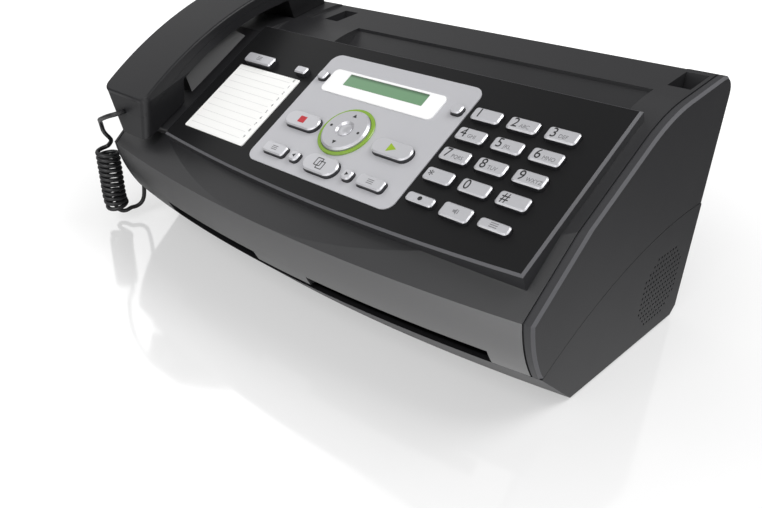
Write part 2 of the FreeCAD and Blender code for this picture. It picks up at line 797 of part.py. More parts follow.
def make_platen_roller():
    """Rubber-faced platen on its shaft, with the driven gear at its right end."""
    x0, x1 = gear_span()
    roller = rod_x(*PLATEN_AT, PLATEN_RADIUS, -ROLL_HALF, ROLL_HALF)
    shaft = rod_x(*PLATEN_AT, SHAFT, -FRAME_X - FRAME_PLATE - 2, x1)
    wheel = gear(PLATEN_AT, PLATEN_TEETH, math.radians(PINION_ANGLE), x0, x1)
    return roller.fuse([shaft, wheel])


def make_motor_pinion():
    """Motor shaft with its pinion, half a tooth out of step so that the teeth mesh."""
    x0, x1 = gear_span()
    at = pinion_at()
    half_step = math.pi / PINION_TEETH
    wheel = gear(at, PINION_TEETH, math.radians(PINION_ANGLE) + math.pi + half_step, x0, x1)
    return wheel.fuse(rod_x(*at, MOTOR_SHAFT, FRAME_X - MOTOR_LENGTH / 2, x1))


def make_stepper_motor():
    """Motor can on the inside of the right frame plate."""
    at = pinion_at()
    can = rod_x(*at, MOTOR_RADIUS, FRAME_X - MOTOR_LENGTH, FRAME_X)
    bore = rod_x(*at, MOTOR_SHAFT + SHAFT_CLEARANCE, FRAME_X - MOTOR_LENGTH / 2 - 0.5, FRAME_X + 1)
    return can.cut(bore)


def film_roll(at, radius):
    """Ink film wound on a core, with flanges, between the frame plates."""
    shaft = rod_x(*at, SHAFT, -FRAME_X - FRAME_PLATE, FRAME_X + FRAME_PLATE)
    film = rod_x(*at, radius, -ROLL_HALF, ROLL_HALF)
    collars = [rod_x(*at, SHAFT + 4, i * (ROLL_HALF + 6) - 6, i * (ROLL_HALF + 6) + 6) for i in (-1, 1)]
    return film.fuse([shaft] + collars)


def make_thermal_head():
    """Print head bar under the platen, held between the frame plates."""
    y, z = PLATEN_AT
    top = z - PLATEN_RADIUS - PAPER_GAP
    depth, height = HEAD_SIZE
    outline = [
        (y - depth / 2, top - height),
        (y + depth / 2 - 4, top - height),
        (y + depth / 2 - 4, top),
        (y - depth / 2, top),
    ]
    return prism_x(outline, -FRAME_X, FRAME_X, [0, 0, 1, 1])


# Cover


def seat_z(y):
    """Height of the cradle's front seat, on a plane beside the panel."""
    drop = (SEAT_GAP - HANDSET_H) / math.cos(SLOPE)
    return PANEL_Z + (y - PANEL_Y) * math.tan(SLOPE) - drop


def cradle_block():
    """Raised land under the handset, from the front seat back to the deck."""
    front = panel_point(0, SEAT_FRONT_V, HANDSET_H - SEAT_GAP)
    back_y = RIDGE_FRONT_Y
    tangent = math.tan(SLOPE) - math.tan(math.radians(DECK_SLOPE))
    meet_y = (deck_z(0.0) - seat_z(0.0)) / tangent
    sunk = 3 * PANEL_STEP
    foot = panel_point(0, SEAT_FRONT_V, HANDSET_H - SEAT_GAP - sunk)
    outline = [
        (foot.y, foot.z),
        (back_y, deck_z(back_y) - sunk),
        (back_y, deck_z(back_y)),
        (meet_y, seat_z(meet_y)),
        (front.y, front.z),
    ]
    return prism_x(outline, -INNER_HALF, PANEL_LEFT - BAY_GAP, [0, 0, 0, 0, 2.0])


def hump():
    """Sloped rise in the middle of the cradle, under the grip."""
    v0, v1 = HUMP_RANGE_V
    foot_h = HANDSET_H - SEAT_GAP
    sections = []
    for h, width, draw in ((foot_h, HUMP_FOOT, 0.0), (foot_h + HUMP_HEIGHT, HUMP_TOP, HUMP_HEIGHT / 2)):
        a = width / 2
        corners = [(-a, v0 + draw), (a, v0 + draw), (a, v1 - draw), (-a, v1 - draw)]
        points = [Vector(HANDSET_MID_X + u, v, h) for u, v in corners]
        sections.append(Part.makePolygon(points + points[:1]))
    return on_panel(Part.makeLoft(sections, True, True))


def chute_span():
    """Left and right ends of the document chute."""
    return PANEL_LEFT + CHUTE_INSET_LEFT, PANEL_RIGHT - CHUTE_INSET_RIGHT


def chute_front_y():
    """Front wall of the chute, just behind the panel's rear edge."""
    return panel_point(0, PANEL_REAR_V, -PANEL_STEP).y + BAY_GAP


def chute_outline(grow):
    """Side view of the chute's wedge, grown by a wall for its outside."""
    front = chute_front_y()
    low = deck_z(front) - CHUTE_DEPTH
    back = front + CHUTE_GAP
    return [
        (front - grow, low - grow),
        (back + grow / 2, low - grow),
        (back + CHUTE_RUN + grow, deck_z(back + CHUTE_RUN, RIDGE_DROP) - grow / 2),
        (back + CHUTE_RUN + grow, FAR / 2),
        (front - grow, FAR / 2),
    ]


def socket_points():
    """Corners of the two paper-support sockets in the deck: low x and low y."""
    width, depth, height = SOCKET_SIZE
    right = INNER_HALF - SOCKET_WALL - width
    y = REAR_Y - SOCKET_REAR - depth
    return [(right, y), (right - SOCKET_SPAN, y)]


def socket_boxes(grow):
    """The sockets' wells, or their outsides where grown by a wall."""
    width, depth, height = SOCKET_SIZE
    boxes = []
    for x, y in socket_points():
        low = deck_z(y) - height - grow
        boxes.append(box(x - grow, x + width + grow, y - grow, y + depth + grow, low, FAR / 2))
    return boxes


def rear_seat_cut():
    """Hollow in the deck that clears the handset's rear cup."""
    near = (HANDSET_LENGTH - HANDSET_CUP - HANDSET_NECK, HANDSET_CUP_RISE + HANDSET_CUP_RISE / 8 - SEAT_GAP)
    rise = HANDSET_CUP_RISE / HANDSET_CUP
    far = (HANDSET_LENGTH + 6, -6 * rise - SEAT_GAP)
    outline = [near, far, (far[0], 60.0), (near[0], 60.0)]
    half = HANDSET_TOP_WIDTH / 2
    return on_handset(prism_x(outline, -half, half))


def make_cradle(bed):
    """Rest of the handset, bedded on the cover's skin."""
    return cradle_block().fuse(hump()).cut([bed, rear_seat_cut(), hook_hole()]).removeSplitter()


def make_cover_shell(form, hollow):
    """Upper cover: hollow shell with fascia, slot, chute, sockets and hinge barrels."""
    middle = box(-INNER_HALF, INNER_HALF, -FAR, FAR, -FAR, FAR)
    outside = form.common(middle)
    upper = outside.common(seam_region(True))
    inside = hollow.common(box(-INNER_HALF + WALL, INNER_HALF - WALL, -FAR, FAR, -FAR, FAR))
    shell = upper.cut(inside)
    chute_left, chute_right = chute_span()
    chute = prism_x(chute_outline(WALL), chute_left - WALL, chute_right + WALL)
    shell = shell.fuse([chute.common(outside)] + [b.common(outside) for b in socket_boxes(SOCKET_WALL)])
    shell = shell.cut(hinge_groove()).fuse(knuckles(COVER_KNUCKLE))
    tab_top = LIP_Z + SLOT_HEIGHT
    slot = box(SLOT_LEFT, SLOT_RIGHT, -FAR, LIP_Y + 20, 0, tab_top)
    ridge = prism_x(
        [
            (RIDGE_FRONT_Y, deck_z(RIDGE_FRONT_Y, RIDGE_DROP)),
            (REAR_Y + 9, deck_z(REAR_Y + 9, RIDGE_DROP)),
            (REAR_Y + 9, FAR),
            (RIDGE_FRONT_Y, FAR),
        ],
        PANEL_LEFT + 4,
        socket_points()[0][0] - SOCKET_WALL,
    )
    cuts = [slot, ridge, prism_x(chute_outline(0.0), chute_left, chute_right), rear_seat_cut()]
    low = deck_z(chute_front_y()) - CHUTE_DEPTH
    cuts.append(box(chute_left, chute_right, chute_front_y(), chute_front_y() + CHUTE_GAP, low - 9, low + 9))
    cuts += socket_boxes(0.0) + pin_holes() + knuckle_notches(BASE_KNUCKLE)
    cuts += [hook_hole(), jack_hole()]
    shell = shell.cut(cuts)
    tab = box(TAB_LEFT, TAB_LEFT + TAB_WIDTH, -FAR, LIP_Y + TAB_DEPTH / 2, tab_top - TAB_DROP, tab_top + 2)
    return shell.fuse(tab.common(outside)).removeSplitter()


def end_rim(shape, x):
    """Edges of a shape's end face, without those of its underside."""
    low = FLOOR_GAP + REAR_CHAMFER + 1
    flat = [e for e in shape.Edges if e.BoundBox.XLength < 1e-6 and abs(e.BoundBox.XMin - x) < 1e-6]
    return [e for e in flat if e.BoundBox.ZMax > low]


def make_side_cheeks(form, rebate):
    """End cheeks of the cover, each with a bevelled outer edge and a groove along the shell."""
    cheeks = []
    upper = seam_region(True)
    for side in (-1, 1):
        inner, outer = sorted((side * INNER_HALF, side * (INNER_HALF + GROOVE)))
        low, high = sorted((side * (INNER_HALF + GROOVE), side * HALF))
        core = rebate.common(box(inner, outer, -FAR, FAR, -FAR, FAR))
        skin = form.common(box(low, high, -FAR, FAR, -FAR, FAR))
        skin = skin.makeChamfer(EDGE_BEVEL, end_rim(skin, side * HALF))
        cheek = skin.common(upper).fuse(core.common(upper))
        cuts = [hinge_groove()]
        if side < 0:
            cuts.append(jack_hole())
        cheeks.append(cheek.cut(cuts).removeSplitter())
    return cheeks


def jack_hole():
    """Opening for the handset cord's plug in the left side."""
    length, depth, height = PLUG_SIZE
    return box(
        -HALF - 1,
        -HALF - PLUG_PROUD + length + 3,
        JACK_Y - depth / 2 - FIT_GAP,
        JACK_Y + depth / 2 + FIT_GAP,
        JACK_Z - height / 2 - FIT_GAP,
        JACK_Z + height / 2 + FIT_GAP,
    )


def make_cord_plug():
    """Plug at the machine's end of the handset cord."""
    length, depth, height = PLUG_SIZE
    x0 = -HALF - PLUG_PROUD
    body = box(x0, x0 + length, JACK_Y - depth / 2, JACK_Y + depth / 2, JACK_Z - height / 2, JACK_Z + height / 2)
    rim = [e for e in body.Edges if abs(e.BoundBox.XMax - x0) < 1e-6]
    return body.makeChamfer(1.0, rim)


# Control panel and what it carries


def panel_front_v(u):
    """Front edge of the panel, a shallow arc."""
    middle = (PANEL_LEFT + PANEL_RIGHT) / 2
    return PANEL_FRONT_V + (u - middle) ** 2 / (2 * PANEL_FRONT_RADIUS)


def panel_form(inset, h0, h1):
    """The panel's outline drawn in by an inset, from h0 to h1."""
    left = PANEL_LEFT + inset
    right = PANEL_RIGHT - inset
    rear = PANEL_REAR_V - inset
    middle = (left + right) / 2
    front_left = Vector(left, panel_front_v(left) + inset, h0)
    front_middle = Vector(middle, panel_front_v(middle) + inset, h0)
    front_right = Vector(right, panel_front_v(right) + inset, h0)
    rear_right = Vector(right, rear, h0)
    rear_left = Vector(left, rear, h0)
    edges = [
        Part.Arc(front_left, front_middle, front_right).toShape(),
        Part.LineSegment(front_right, rear_right).toShape(),
        Part.LineSegment(rear_right, rear_left).toShape(),
        Part.LineSegment(rear_left, front_left).toShape(),
    ]
    return Part.Face(Part.Wire(edges)).extrude(Vector(0, 0, h1 - h0))


def key_list():
    """Every rectangular key: name, middle, size, corner radius and height of its top."""
    keys = []
    names = ["1", "2", "3", "4", "5", "6", "7", "8", "9", "star", "0", "hash"]
    for i, name in enumerate(names):
        u = KEYPAD_MID + (i % 3 - 1) * KEY_PITCH_U
        v = (1 - i // 3) * KEY_PITCH_V
        keys.append(("key_" + name, u, v, KEY_WIDTH, KEY_DEPTH, KEY_RADIUS, KEY_TOP))
    lower = (("redial", -1, 5.8), ("speaker", 0, 9.0), ("recall", 1, 5.8))
    for name, column, depth in lower:
        u = KEYPAD_MID + column * KEY_PITCH_U
        keys.append(("key_" + name, u, LOWER_ROW_V, KEY_WIDTH, depth, KEY_RADIUS, KEY_TOP))
    plate_keys = (
        ("stop", -37.6, -10.5, 27.0, 11.6, 5.7),
        ("start", 33.5, -10.4, 27.5, 11.2, 5.5),
        ("copy", -1.3, -34.8, 25.7, 12.6, 6.2),
        ("quality", -39.5, -35.2, 18.0, 7.8, 2.0),
        ("back", -22.6, -35.4, 7.2, 7.0, 2.4),
        ("forward", 19.9, -35.0, 6.8, 7.0, 2.4),
        ("message", 37.0, -34.6, 18.5, 7.6, 2.0),
    )
    for name, du, dv, width, depth, radius in plate_keys:
        keys.append(("key_" + name, PLATE_AXIS + du, PLATE_MID_V + dv, width, depth, radius, SHEET + KEY_TOP))
    reach = (BEZEL_SIZE[0] + DISPLAY_KEY[0]) / 2
    beside = (("menu", -reach - DISPLAY_KEY_GAPS[0], 0.7), ("mute", reach + DISPLAY_KEY_GAPS[1], 1.7))
    for name, du, dv in beside:
        v = PLATE_MID_V + BEZEL_OFFSET_V + dv
        keys.append(("key_" + name, BEZEL_MID + du, v, *DISPLAY_KEY, 2.0, SHEET + KEY_TOP))
    card_top = CARD_MID_V + CARD_DEPTH / 2
    keys.append(("key_book", CARD_MID - 13.8, card_top + 5.8, 26.5, 8.0, 2.0, KEY_TOP + 1))
    keys.append(("key_timer", CARD_MID + 26.5, card_top + 6.2, 10.0, 5.6, 1.6, KEY_TOP + 1))
    return keys


def key_body(u, v, width, depth, radius, top):
    """A key: bevelled cap through the panel, with a flange that keeps it in."""
    cap = bevel_top(slab(u, v, width, depth, radius, KEY_SEAT, top), top, KEY_BEVEL)
    low = KEY_SEAT - KEY_FLANGE
    return cap.fuse(slab(u, v, width + 2 * KEY_LIP, depth + 2 * KEY_LIP, radius, low, KEY_SEAT))


def key_holes():
    """Openings of all the keys, through panel and plate."""
    holes = []
    for name, u, v, width, depth, radius, top in key_list():
        c = KEY_CLEARANCE
        holes.append(slab(u, v, width + 2 * c, depth + 2 * c, radius + c, -PANEL_STEP / 2, PANEL_STEP))
    middle = Vector(*nav_middle(), -PANEL_STEP / 2)
    holes.append(Part.makeCylinder(NAV_RADIUS + KEY_CLEARANCE, 2 * PANEL_STEP, middle))
    return holes


def nav_middle():
    """Middle of the navigation disc on the panel."""
    return PLATE_AXIS + NAV_OFFSET[0], PLATE_MID_V + NAV_OFFSET[1]


def make_control_panel(bed, holes):
    """Raised panel: a tray, open below, with the openings of the keys and a skirt down to the cover."""
    low = -4 * PANEL_STEP
    tray = bevel_top(panel_form(0.0, low, 0.0), 0.0, PANEL_BEVEL)
    tray = tray.cut(panel_form(PANEL_WALL, low - 1, -PANEL_SKIN))
    return on_panel(tray.cut(holes)).cut(bed)


def make_silver_plate(holes):
    """Thin plate on the panel round the display and the function keys."""
    plate = slab(PLATE_MID, PLATE_MID_V, PLATE_WIDTH, PLATE_DEPTH, PLATE_RADIUS, 0, SHEET)
    return on_panel(plate.cut(holes))


def bezel_middle():
    """Middle of the display bezel."""
    return BEZEL_MID, PLATE_MID_V + BEZEL_OFFSET_V


def window_middle():
    """Middle of the display window."""
    u, v = bezel_middle()
    return u + WINDOW_OFFSET[0], v + WINDOW_OFFSET[1]


def make_display_bezel():
    """White frame of the display."""
    frame = slab(*bezel_middle(), *BEZEL_SIZE, BEZEL_RADIUS, SHEET, 2 * SHEET)
    return on_panel(frame.cut(slab(*window_middle(), *WINDOW_SIZE, 0.5, 0, 4 * SHEET)))


def make_display_glass():
    """Display glass, set in the frame's window."""
    width, depth = WINDOW_SIZE
    return on_panel(
        slab(*window_middle(), width - 2 * FIT_GAP, depth - 2 * FIT_GAP, 0.4, SHEET, 1.8 * SHEET)
    )


def make_nav_ring():
    """Coloured ring round the navigation disc."""
    inner = NAV_RADIUS + KEY_CLEARANCE
    base = Vector(*nav_middle(), SHEET)
    ring = Part.makeCylinder(inner + RING_WIDTH, RING_HEIGHT, base)
    ring = bevel_top(ring, SHEET + RING_HEIGHT, RING_HEIGHT / 3)
    return on_panel(ring.cut(Part.makeCylinder(inner, 2 * RING_HEIGHT, base)))


def make_nav_disc():
    """Rocking disc with a dished middle, kept in by a flange under the panel, with a stub at each side."""
    top = SHEET + KEY_TOP
    seat = KEY_SEAT - NAV_DROP
    low = seat - KEY_FLANGE
    profile = [
        (0, low),
        (NAV_RADIUS + KEY_LIP, low),
        (NAV_RADIUS + KEY_LIP, seat),
        (NAV_RADIUS, seat),
        (NAV_RADIUS, top - 1.2),
        (NAV_RADIUS - 1.2, top),
        (NAV_DISH, top),
        (NAV_DISH - 1.2, top - 1.0),
        (0, top - 1.0),
    ]
    points = [Vector(r, 0, h) for r, h in profile]
    face = Part.Face(Part.makePolygon(points + points[:1]))
    disc = face.revolve(Vector(0, 0, 0), Vector(0, 0, 1), 360)
    reach = NAV_RADIUS + KEY_LIP + 2 * NAV_STUB
    disc = disc.fuse(rod_x(0, low + KEY_FLANGE / 2, NAV_STUB, -reach, reach))
    disc.translate(Vector(*nav_middle(), 0))
    return on_panel(disc)


def make_index_card():
    """Card for short numbers, lying on the panel."""
    return on_panel(slab(CARD_MID, CARD_MID_V, CARD_WIDTH, CARD_DEPTH, 1.0, 0, SHEET))


def make_key_board():
    """Circuit board under the keys, lying on the cover inside the panel."""
    inset = PANEL_WALL + FIT_GAP
    return on_panel(panel_form(inset, -PANEL_STEP, -PANEL_STEP + BOARD))


def scanner_top():
    """Height, off the panel, of the cover's inner face that the scanner hangs from."""
    return -PANEL_STEP - WALL


def feed_axis():
    """Axis of the document roller in the panel's frame."""
    return SCANNER_V - FEED_STEP, scanner_top() - SCANNER_SIZE[2] / 2


def make_scanner_bar():
    """Scanner bar under the cover's top, with an ear at each end for the document roller."""
    width, depth, height = SCANNER_SIZE
    top = scanner_top()
    v0 = SCANNER_V - depth / 2
    bar = box(-width / 2, width / 2, v0, v0 + depth, top - height, top)
    window = box(-width / 2 + 6, width / 2 - 6, v0 + 6, v0 + 10, top - height - 1, top - height + 1)
    v, h = feed_axis()
    bar = bar.cut(window)
    ears = []
    for side in (-1, 1):
        inner = side * width / 2 - (SCANNER_EAR if side > 0 else 0)
        ears.append(box(inner, inner + SCANNER_EAR, v - FEED_SHAFT - 3, v0 + 1, top - height, top))
    bar = bar.fuse(ears)
    return on_panel(bar.cut(rod_x(v, h, FEED_SHAFT + SHAFT_CLEARANCE, -width, width)))


def make_feed_roller():
    """Document roller with three rubber tyres on one shaft."""
    v, h = feed_axis()
    width = SCANNER_SIZE[0]
    shaft = rod_x(v, h, FEED_SHAFT, -width / 2, width / 2)
    tyres = [rod_x(v, h, FEED_RADIUS, x - 18, x + 18) for x in (-70, 0, 70)]
    return on_panel(shaft.fuse(tyres))


def hook_point(h):
    """Place of the hook switch on the cradle's seat."""
    return HANDSET_MID_X, HANDSET_V + HOOK_S, h


def hook_hole():
    """Opening of the hook switch through the cradle."""
    u, v, h = hook_point(0.0)
    c = HOOK_CLEARANCE
    return on_panel(slab(u, v, HOOK_SIZE[0] + 2 * c, HOOK_SIZE[1] + 2 * c, 1.5, -4 * PANEL_STEP, PANEL_STEP))


def make_hook_switch():
    """Plunger that the handset holds down, with a flange inside the cover."""
    u, v, top = hook_point(HANDSET_H - SEAT_GAP)
    low = scanner_top() - HOOK_TRAVEL - HOOK_CLEARANCE - HOOK_DROP
    stem = bevel_top(slab(u, v, *HOOK_SIZE, 1.2, low, top), top, 0.6)
    flange = slab(u, v, HOOK_SIZE[0] + 4, HOOK_SIZE[1] + 4, 1.2, low - KEY_FLANGE, low)
    return on_panel(stem.fuse(flange))


# Handset


def on_handset(shape):
    """A shape drawn across, along and off the handset, set on the cradle."""
    start = panel_point(HANDSET_MID_X, HANDSET_V, HANDSET_H)
    placed = shape.copy()
    placed.Placement = Placement(start, Rotation(Vector(1, 0, 0), HANDSET_SLOPE)).multiply(shape.Placement)
    return placed


def handset_form(inset):
    """The handset's outer form, drawn in by an inset: an arch with two cups, narrower at its foot."""
    length = HANDSET_LENGTH
    middle = length / 2
    over = 5.0
    rise = HANDSET_CUP_RISE / HANDSET_CUP
    half = [
        (-over, inset - over * rise),
        (HANDSET_CUP - inset, HANDSET_CUP_RISE + inset - inset * rise),
        (HANDSET_CUP + HANDSET_NECK - inset, HANDSET_NECK_T + inset),
    ]
    chord = middle - HANDSET_LEAN
    sag = HANDSET_CROWN - HANDSET_END
    radius = (chord * chord + sag * sag) / (2 * sag)
    end_t = HANDSET_CROWN - inset - radius + math.sqrt(radius * radius - (middle + over) ** 2)
    points = half + [(length - s, t) for s, t in reversed(half)] + [(length + over, end_t), (-over, end_t)]
    mids = {2: (middle, HANDSET_GRIP_T + inset), 6: (middle, HANDSET_CROWN - inset)}
    arch = arc_prism_x(points, mids, -HANDSET_TOP_WIDTH, HANDSET_TOP_WIDTH)
    rings = []
    for t in (-2.0, HANDSET_SHOULDER):
        share = t / HANDSET_SHOULDER
        width = HANDSET_FOOT_WIDTH + (HANDSET_TOP_WIDTH - HANDSET_FOOT_WIDTH) * share
        reach = length - 2 * HANDSET_LEAN * t / HANDSET_END
        corner = HANDSET_CORNER - inset
        rings.append(rounded_rectangle(0, middle, width - 2 * inset, reach - 2 * inset, corner, t))
    taper = Part.makeLoft(rings, True, True)
    crown = Part.Face(rings[1]).extrude(Vector(0, 0, HANDSET_CROWN))
    return arch.common(taper.fuse(crown))


def handset_split(upper):
    """Everything above or below the arched joint between the handset's two shells."""
    length = HANDSET_LENGTH
    end = 90.0 if upper else -90.0
    drop = 0.0 if upper else HANDSET_SPLIT_GAP
    line = HANDSET_SPLIT_END - drop
    points = [(0, line), (length, line), (length, end), (0, end)]
    return arc_prism_x(points, {0: (length / 2, HANDSET_SPLIT_MID - drop)}, -FAR, FAR)


def cup_frame(shape, rear):
    """A shape drawn at the middle of a cup's face, set in the front or the rear cup."""
    tilt = math.degrees(math.atan2(HANDSET_CUP_RISE, HANDSET_CUP))
    s = HANDSET_CUP / 2
    frame = Placement(
        Vector(0, HANDSET_LENGTH - s if rear else s, HANDSET_CUP_RISE / 2),
        Rotation(Vector(1, 0, 0), -tilt if rear else tilt),
    )
    placed = shape.copy()
    placed.Placement = frame.multiply(shape.Placement)
    return placed


def sound_holes():
    """Small holes through a cup's face: one in the middle and a ring round it."""
    places = [(0.0, 0.0)]
    for i in range(6):
        angle = math.radians(60 * i)
        places.append((SOUND_PITCH * math.cos(angle), SOUND_PITCH * math.sin(angle)))
    return [Part.makeCylinder(SOUND_HOLE, 3 * HANDSET_WALL, Vector(x, s, -HANDSET_WALL)) for x, s in places]


def make_handset_shells():
    """Upper and lower shell of the handset, both hollow."""
    outer = handset_form(0.0)
    crown = [e for e in outer.Edges if e.BoundBox.ZMin > HANDSET_SHOULDER + 0.5]
    outer = outer.makeFillet(HANDSET_EDGE, crown)
    hollow = handset_form(HANDSET_WALL)
    wall = outer.cut(hollow)
    upper = wall.common(handset_split(True))
    lower = wall.common(handset_split(False))
    holes = [cup_frame(h, rear) for rear in (False, True) for h in sound_holes()]
    return on_handset(upper), on_handset(lower.cut(holes))


def make_handset_capsules():
    """Microphone and earpiece capsules, one on the inside of each cup's face."""
    disc = Part.makeCylinder(CAPSULE_RADIUS, CAPSULE_HEIGHT, Vector(0, 0, HANDSET_WALL + FIT_GAP))
    return [on_handset(cup_frame(disc, rear)) for rear in (False, True)]


# Curly cord


def cord_start():
    """Where the cord leaves the handset's front end, and the way it points there."""
    lean = math.atan2(HANDSET_LEAN, HANDSET_END)
    place = on_handset(Part.Vertex(CORD_EXIT_DX, HANDSET_LEAN * CORD_EXIT_T / HANDSET_END, CORD_EXIT_T)).Point
    turn = math.radians(HANDSET_SLOPE) - lean
    return place, Vector(0, -math.cos(turn), -math.sin(turn))


def coil_points(steps):
    """Points down the coil from its left side, a number of steps to each turn."""
    top = Vector(*COIL_TOP)
    points = []
    for i in range(round(COIL_TURNS * steps) + 1):
        angle = 2 * math.pi * i / steps
        reach = Vector(-math.cos(angle), -math.sin(angle), 0) * COIL_RADIUS
        points.append(top + reach - Vector(0, 0, COIL_PITCH * i / steps))
    return points


def cord_knots():
    """Points and directions that the cord's arcs run between, from the handset to the plug."""
    place, out = cord_start()
    knots = [(place, out), (place + out * (1.4 * CORD_WIRE), out)]
    coil = coil_points(4)
    fine = coil_points(400)
    slant = (coil[0] - place).normalize()
    knots.append((place + Vector(-13.0, -8.5, -6.0), Vector(slant.x, 0, slant.z).normalize()))
    for i, point in enumerate(coil):
        ahead = fine[min(100 * i + 1, len(fine) - 1)]
        behind = fine[max(100 * i - 1, 0)]
        knots.append((point, (ahead - behind).normalize()))
    end = Vector(-HALF - PLUG_PROUD, JACK_Y, JACK_Z)
    inward = Vector(1, 0, 0)
    knots.append((Vector(*LEAD_RISE), Vector(0, 0, 1)))
    knots.append((end - inward * (1.4 * CORD_WIRE), inward))
    knots.append((end, inward))
    return knots


def biarc(start, start_way, end, end_way):
    """Where two arcs, tangent to each other and to both ends, join, and the way they run there."""
    chord = end - start
    both = start_way + end_way
    a = 2 * (1 - start_way.dot(end_way))
    b = 2 * chord.dot(both)
    c = -chord.dot(chord)
    reach = -c / b if abs(a) < 1e-9 else (-b + math.sqrt(b * b - 4 * a * c)) / (2 * a)
    first = start + start_way * reach
    last = end - end_way * reach
    return (first + last) * 0.5, (last - first).normalize()


def arc_between(start, way, end):
    """Arc that leaves a point in a direction and ends at another, or a line where they are in line."""
    chord = end - start
    lift = chord - way * chord.dot(way)
    if lift.Length < 1e-6:
        return Part.LineSegment(start, end).toShape()
    normal = Vector(lift).normalize()
    radius = chord.dot(chord) / (2 * chord.dot(normal))
    centre = start + normal * radius
    half = math.atan2(lift.Length, chord.dot(way))
    middle = centre - normal * (radius * math.cos(half)) + way * (radius * math.sin(half))
    return Part.Arc(start, middle, end).toShape()


def cord_edges():
    """The cord's middle line as arcs and straight ends."""
    knots = cord_knots()
    edges = []
    for (start, start_way), (end, end_way) in zip(knots, knots[1:]):
        chord = (end - start).normalize()
        if chord.dot(start_way) > 1 - 1e-9 and chord.dot(end_way) > 1 - 1e-9:
            edges.append(Part.LineSegment(start, end).toShape())
            continue
        joint, way = biarc(start, start_way, end, end_way)
        edges.append(arc_between(start, start_way, joint))
        edges.append(arc_between(joint, way, end))
    return edges


def print_cord_gap(edges):
    """Prints the cord's length and its least gap to itself, measured on points along it."""
    points = []
    travel = 0.0
    for edge in edges:
        span = edge.LastParameter - edge.FirstParameter
        for i in range(6):
            place = edge.valueAt(edge.FirstParameter + span * i / 6)
            points.append((travel + edge.Length * i / 6, place))
        travel += edge.Length
    apart = 4 * CORD_WIRE
    least = min(
        (p - q).Length
        for i, (d, p) in enumerate(points)
        for e, q in points[i + 1:]
        if e - d > apart
    )
    print("cord length %.1f mm, least gap to itself %.2f mm" % (travel, least - CORD_WIRE))


def make_curly_cord():
    """The handset cord: one unbroken tube with its curls."""
    edges = cord_edges()
    print_cord_gap(edges)
    place, out = cord_start()
    ring = Part.Wire(Part.Circle(place, out, CORD_WIRE / 2).toShape())
    return Part.Wire(edges).makePipeShell([ring], True, False)


def save(name, shape):
    """Writes one piece, or a group of like pieces, under its name."""
    solids = shape if isinstance(shape, list) else [shape]
    solids = [s for item in solids for s in item.Solids]
    bad = [s for s in solids if not s.isValid()]
    print("%-20s %d solids, %.2f cm3%s" % (name, len(solids), sum(s.Volume for s in solids) / 1000,
        ", NOT VALID" if bad else ""))
    whole = solids[0] if len(solids) == 1 else Part.makeCompound(solids)
    whole.exportStep("parts/%s.step" % name)


def main():
    os.makedirs("parts", exist_ok=True)
    form = envelope()
    save("base_shell", make_base_shell(form, envelope(BASE_WALL)))
    save("cover_shell", make_cover_shell(form, envelope(WALL, RIDGE_DROP)))
    bed = envelope(-PANEL_BED)
    save("cradle", make_cradle(bed))
    save("side_cheeks", make_side_cheeks(form, envelope(GROOVE)))
    save("hinge_pins", make_hinge_pins())
    save("rubber_feet", make_rubber_feet())
    save("base_screws", make_base_screws())
    save("circuit_boards", make_main_board() + make_power_supply())
    save("loudspeaker", make_loudspeaker())
    save("mains_inlet", make_mains_inlet())
    save("line_sockets", make_line_sockets())
    save("frame_plates", make_frame_plates())
    save("stepper_motor", make_stepper_motor())
    save("motor_pinion", make_motor_pinion())
    save("platen_roller", make_platen_roller())
    save("thermal_head", make_thermal_head())
    save("film_supply_roll", film_roll(SUPPLY_AT, SUPPLY_RADIUS))
    save("film_takeup_roll", film_roll(TAKEUP_AT, TAKEUP_RADIUS))
    holes = key_holes()
    save("control_panel", make_control_panel(bed, holes))
    save("silver_plate", make_silver_plate(holes))
    save("display_bezel", make_display_bezel())
    save("display_glass", make_display_glass())
    save("nav_ring", make_nav_ring())
    save("nav_disc", make_nav_disc())
    save("index_card", make_index_card())
    save("key_board", make_key_board())
    for name, *sizes in key_list():
        save(name, on_panel(key_body(*sizes)))
    save("scanner_bar", make_scanner_bar())
    save("feed_roller", make_feed_roller())
    save("hook_switch", make_hook_switch())
    upper, lower = make_handset_shells()
    save("handset_upper", upper)
    save("handset_lower", lower)
    save("handset_capsules", make_handset_capsules())
    save("cord_plug", make_cord_plug())
    save("curly_cord", make_curly_cord())


main()
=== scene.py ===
import json
import math

import bpy
import numpy as np
from mathutils import Matrix, Vector

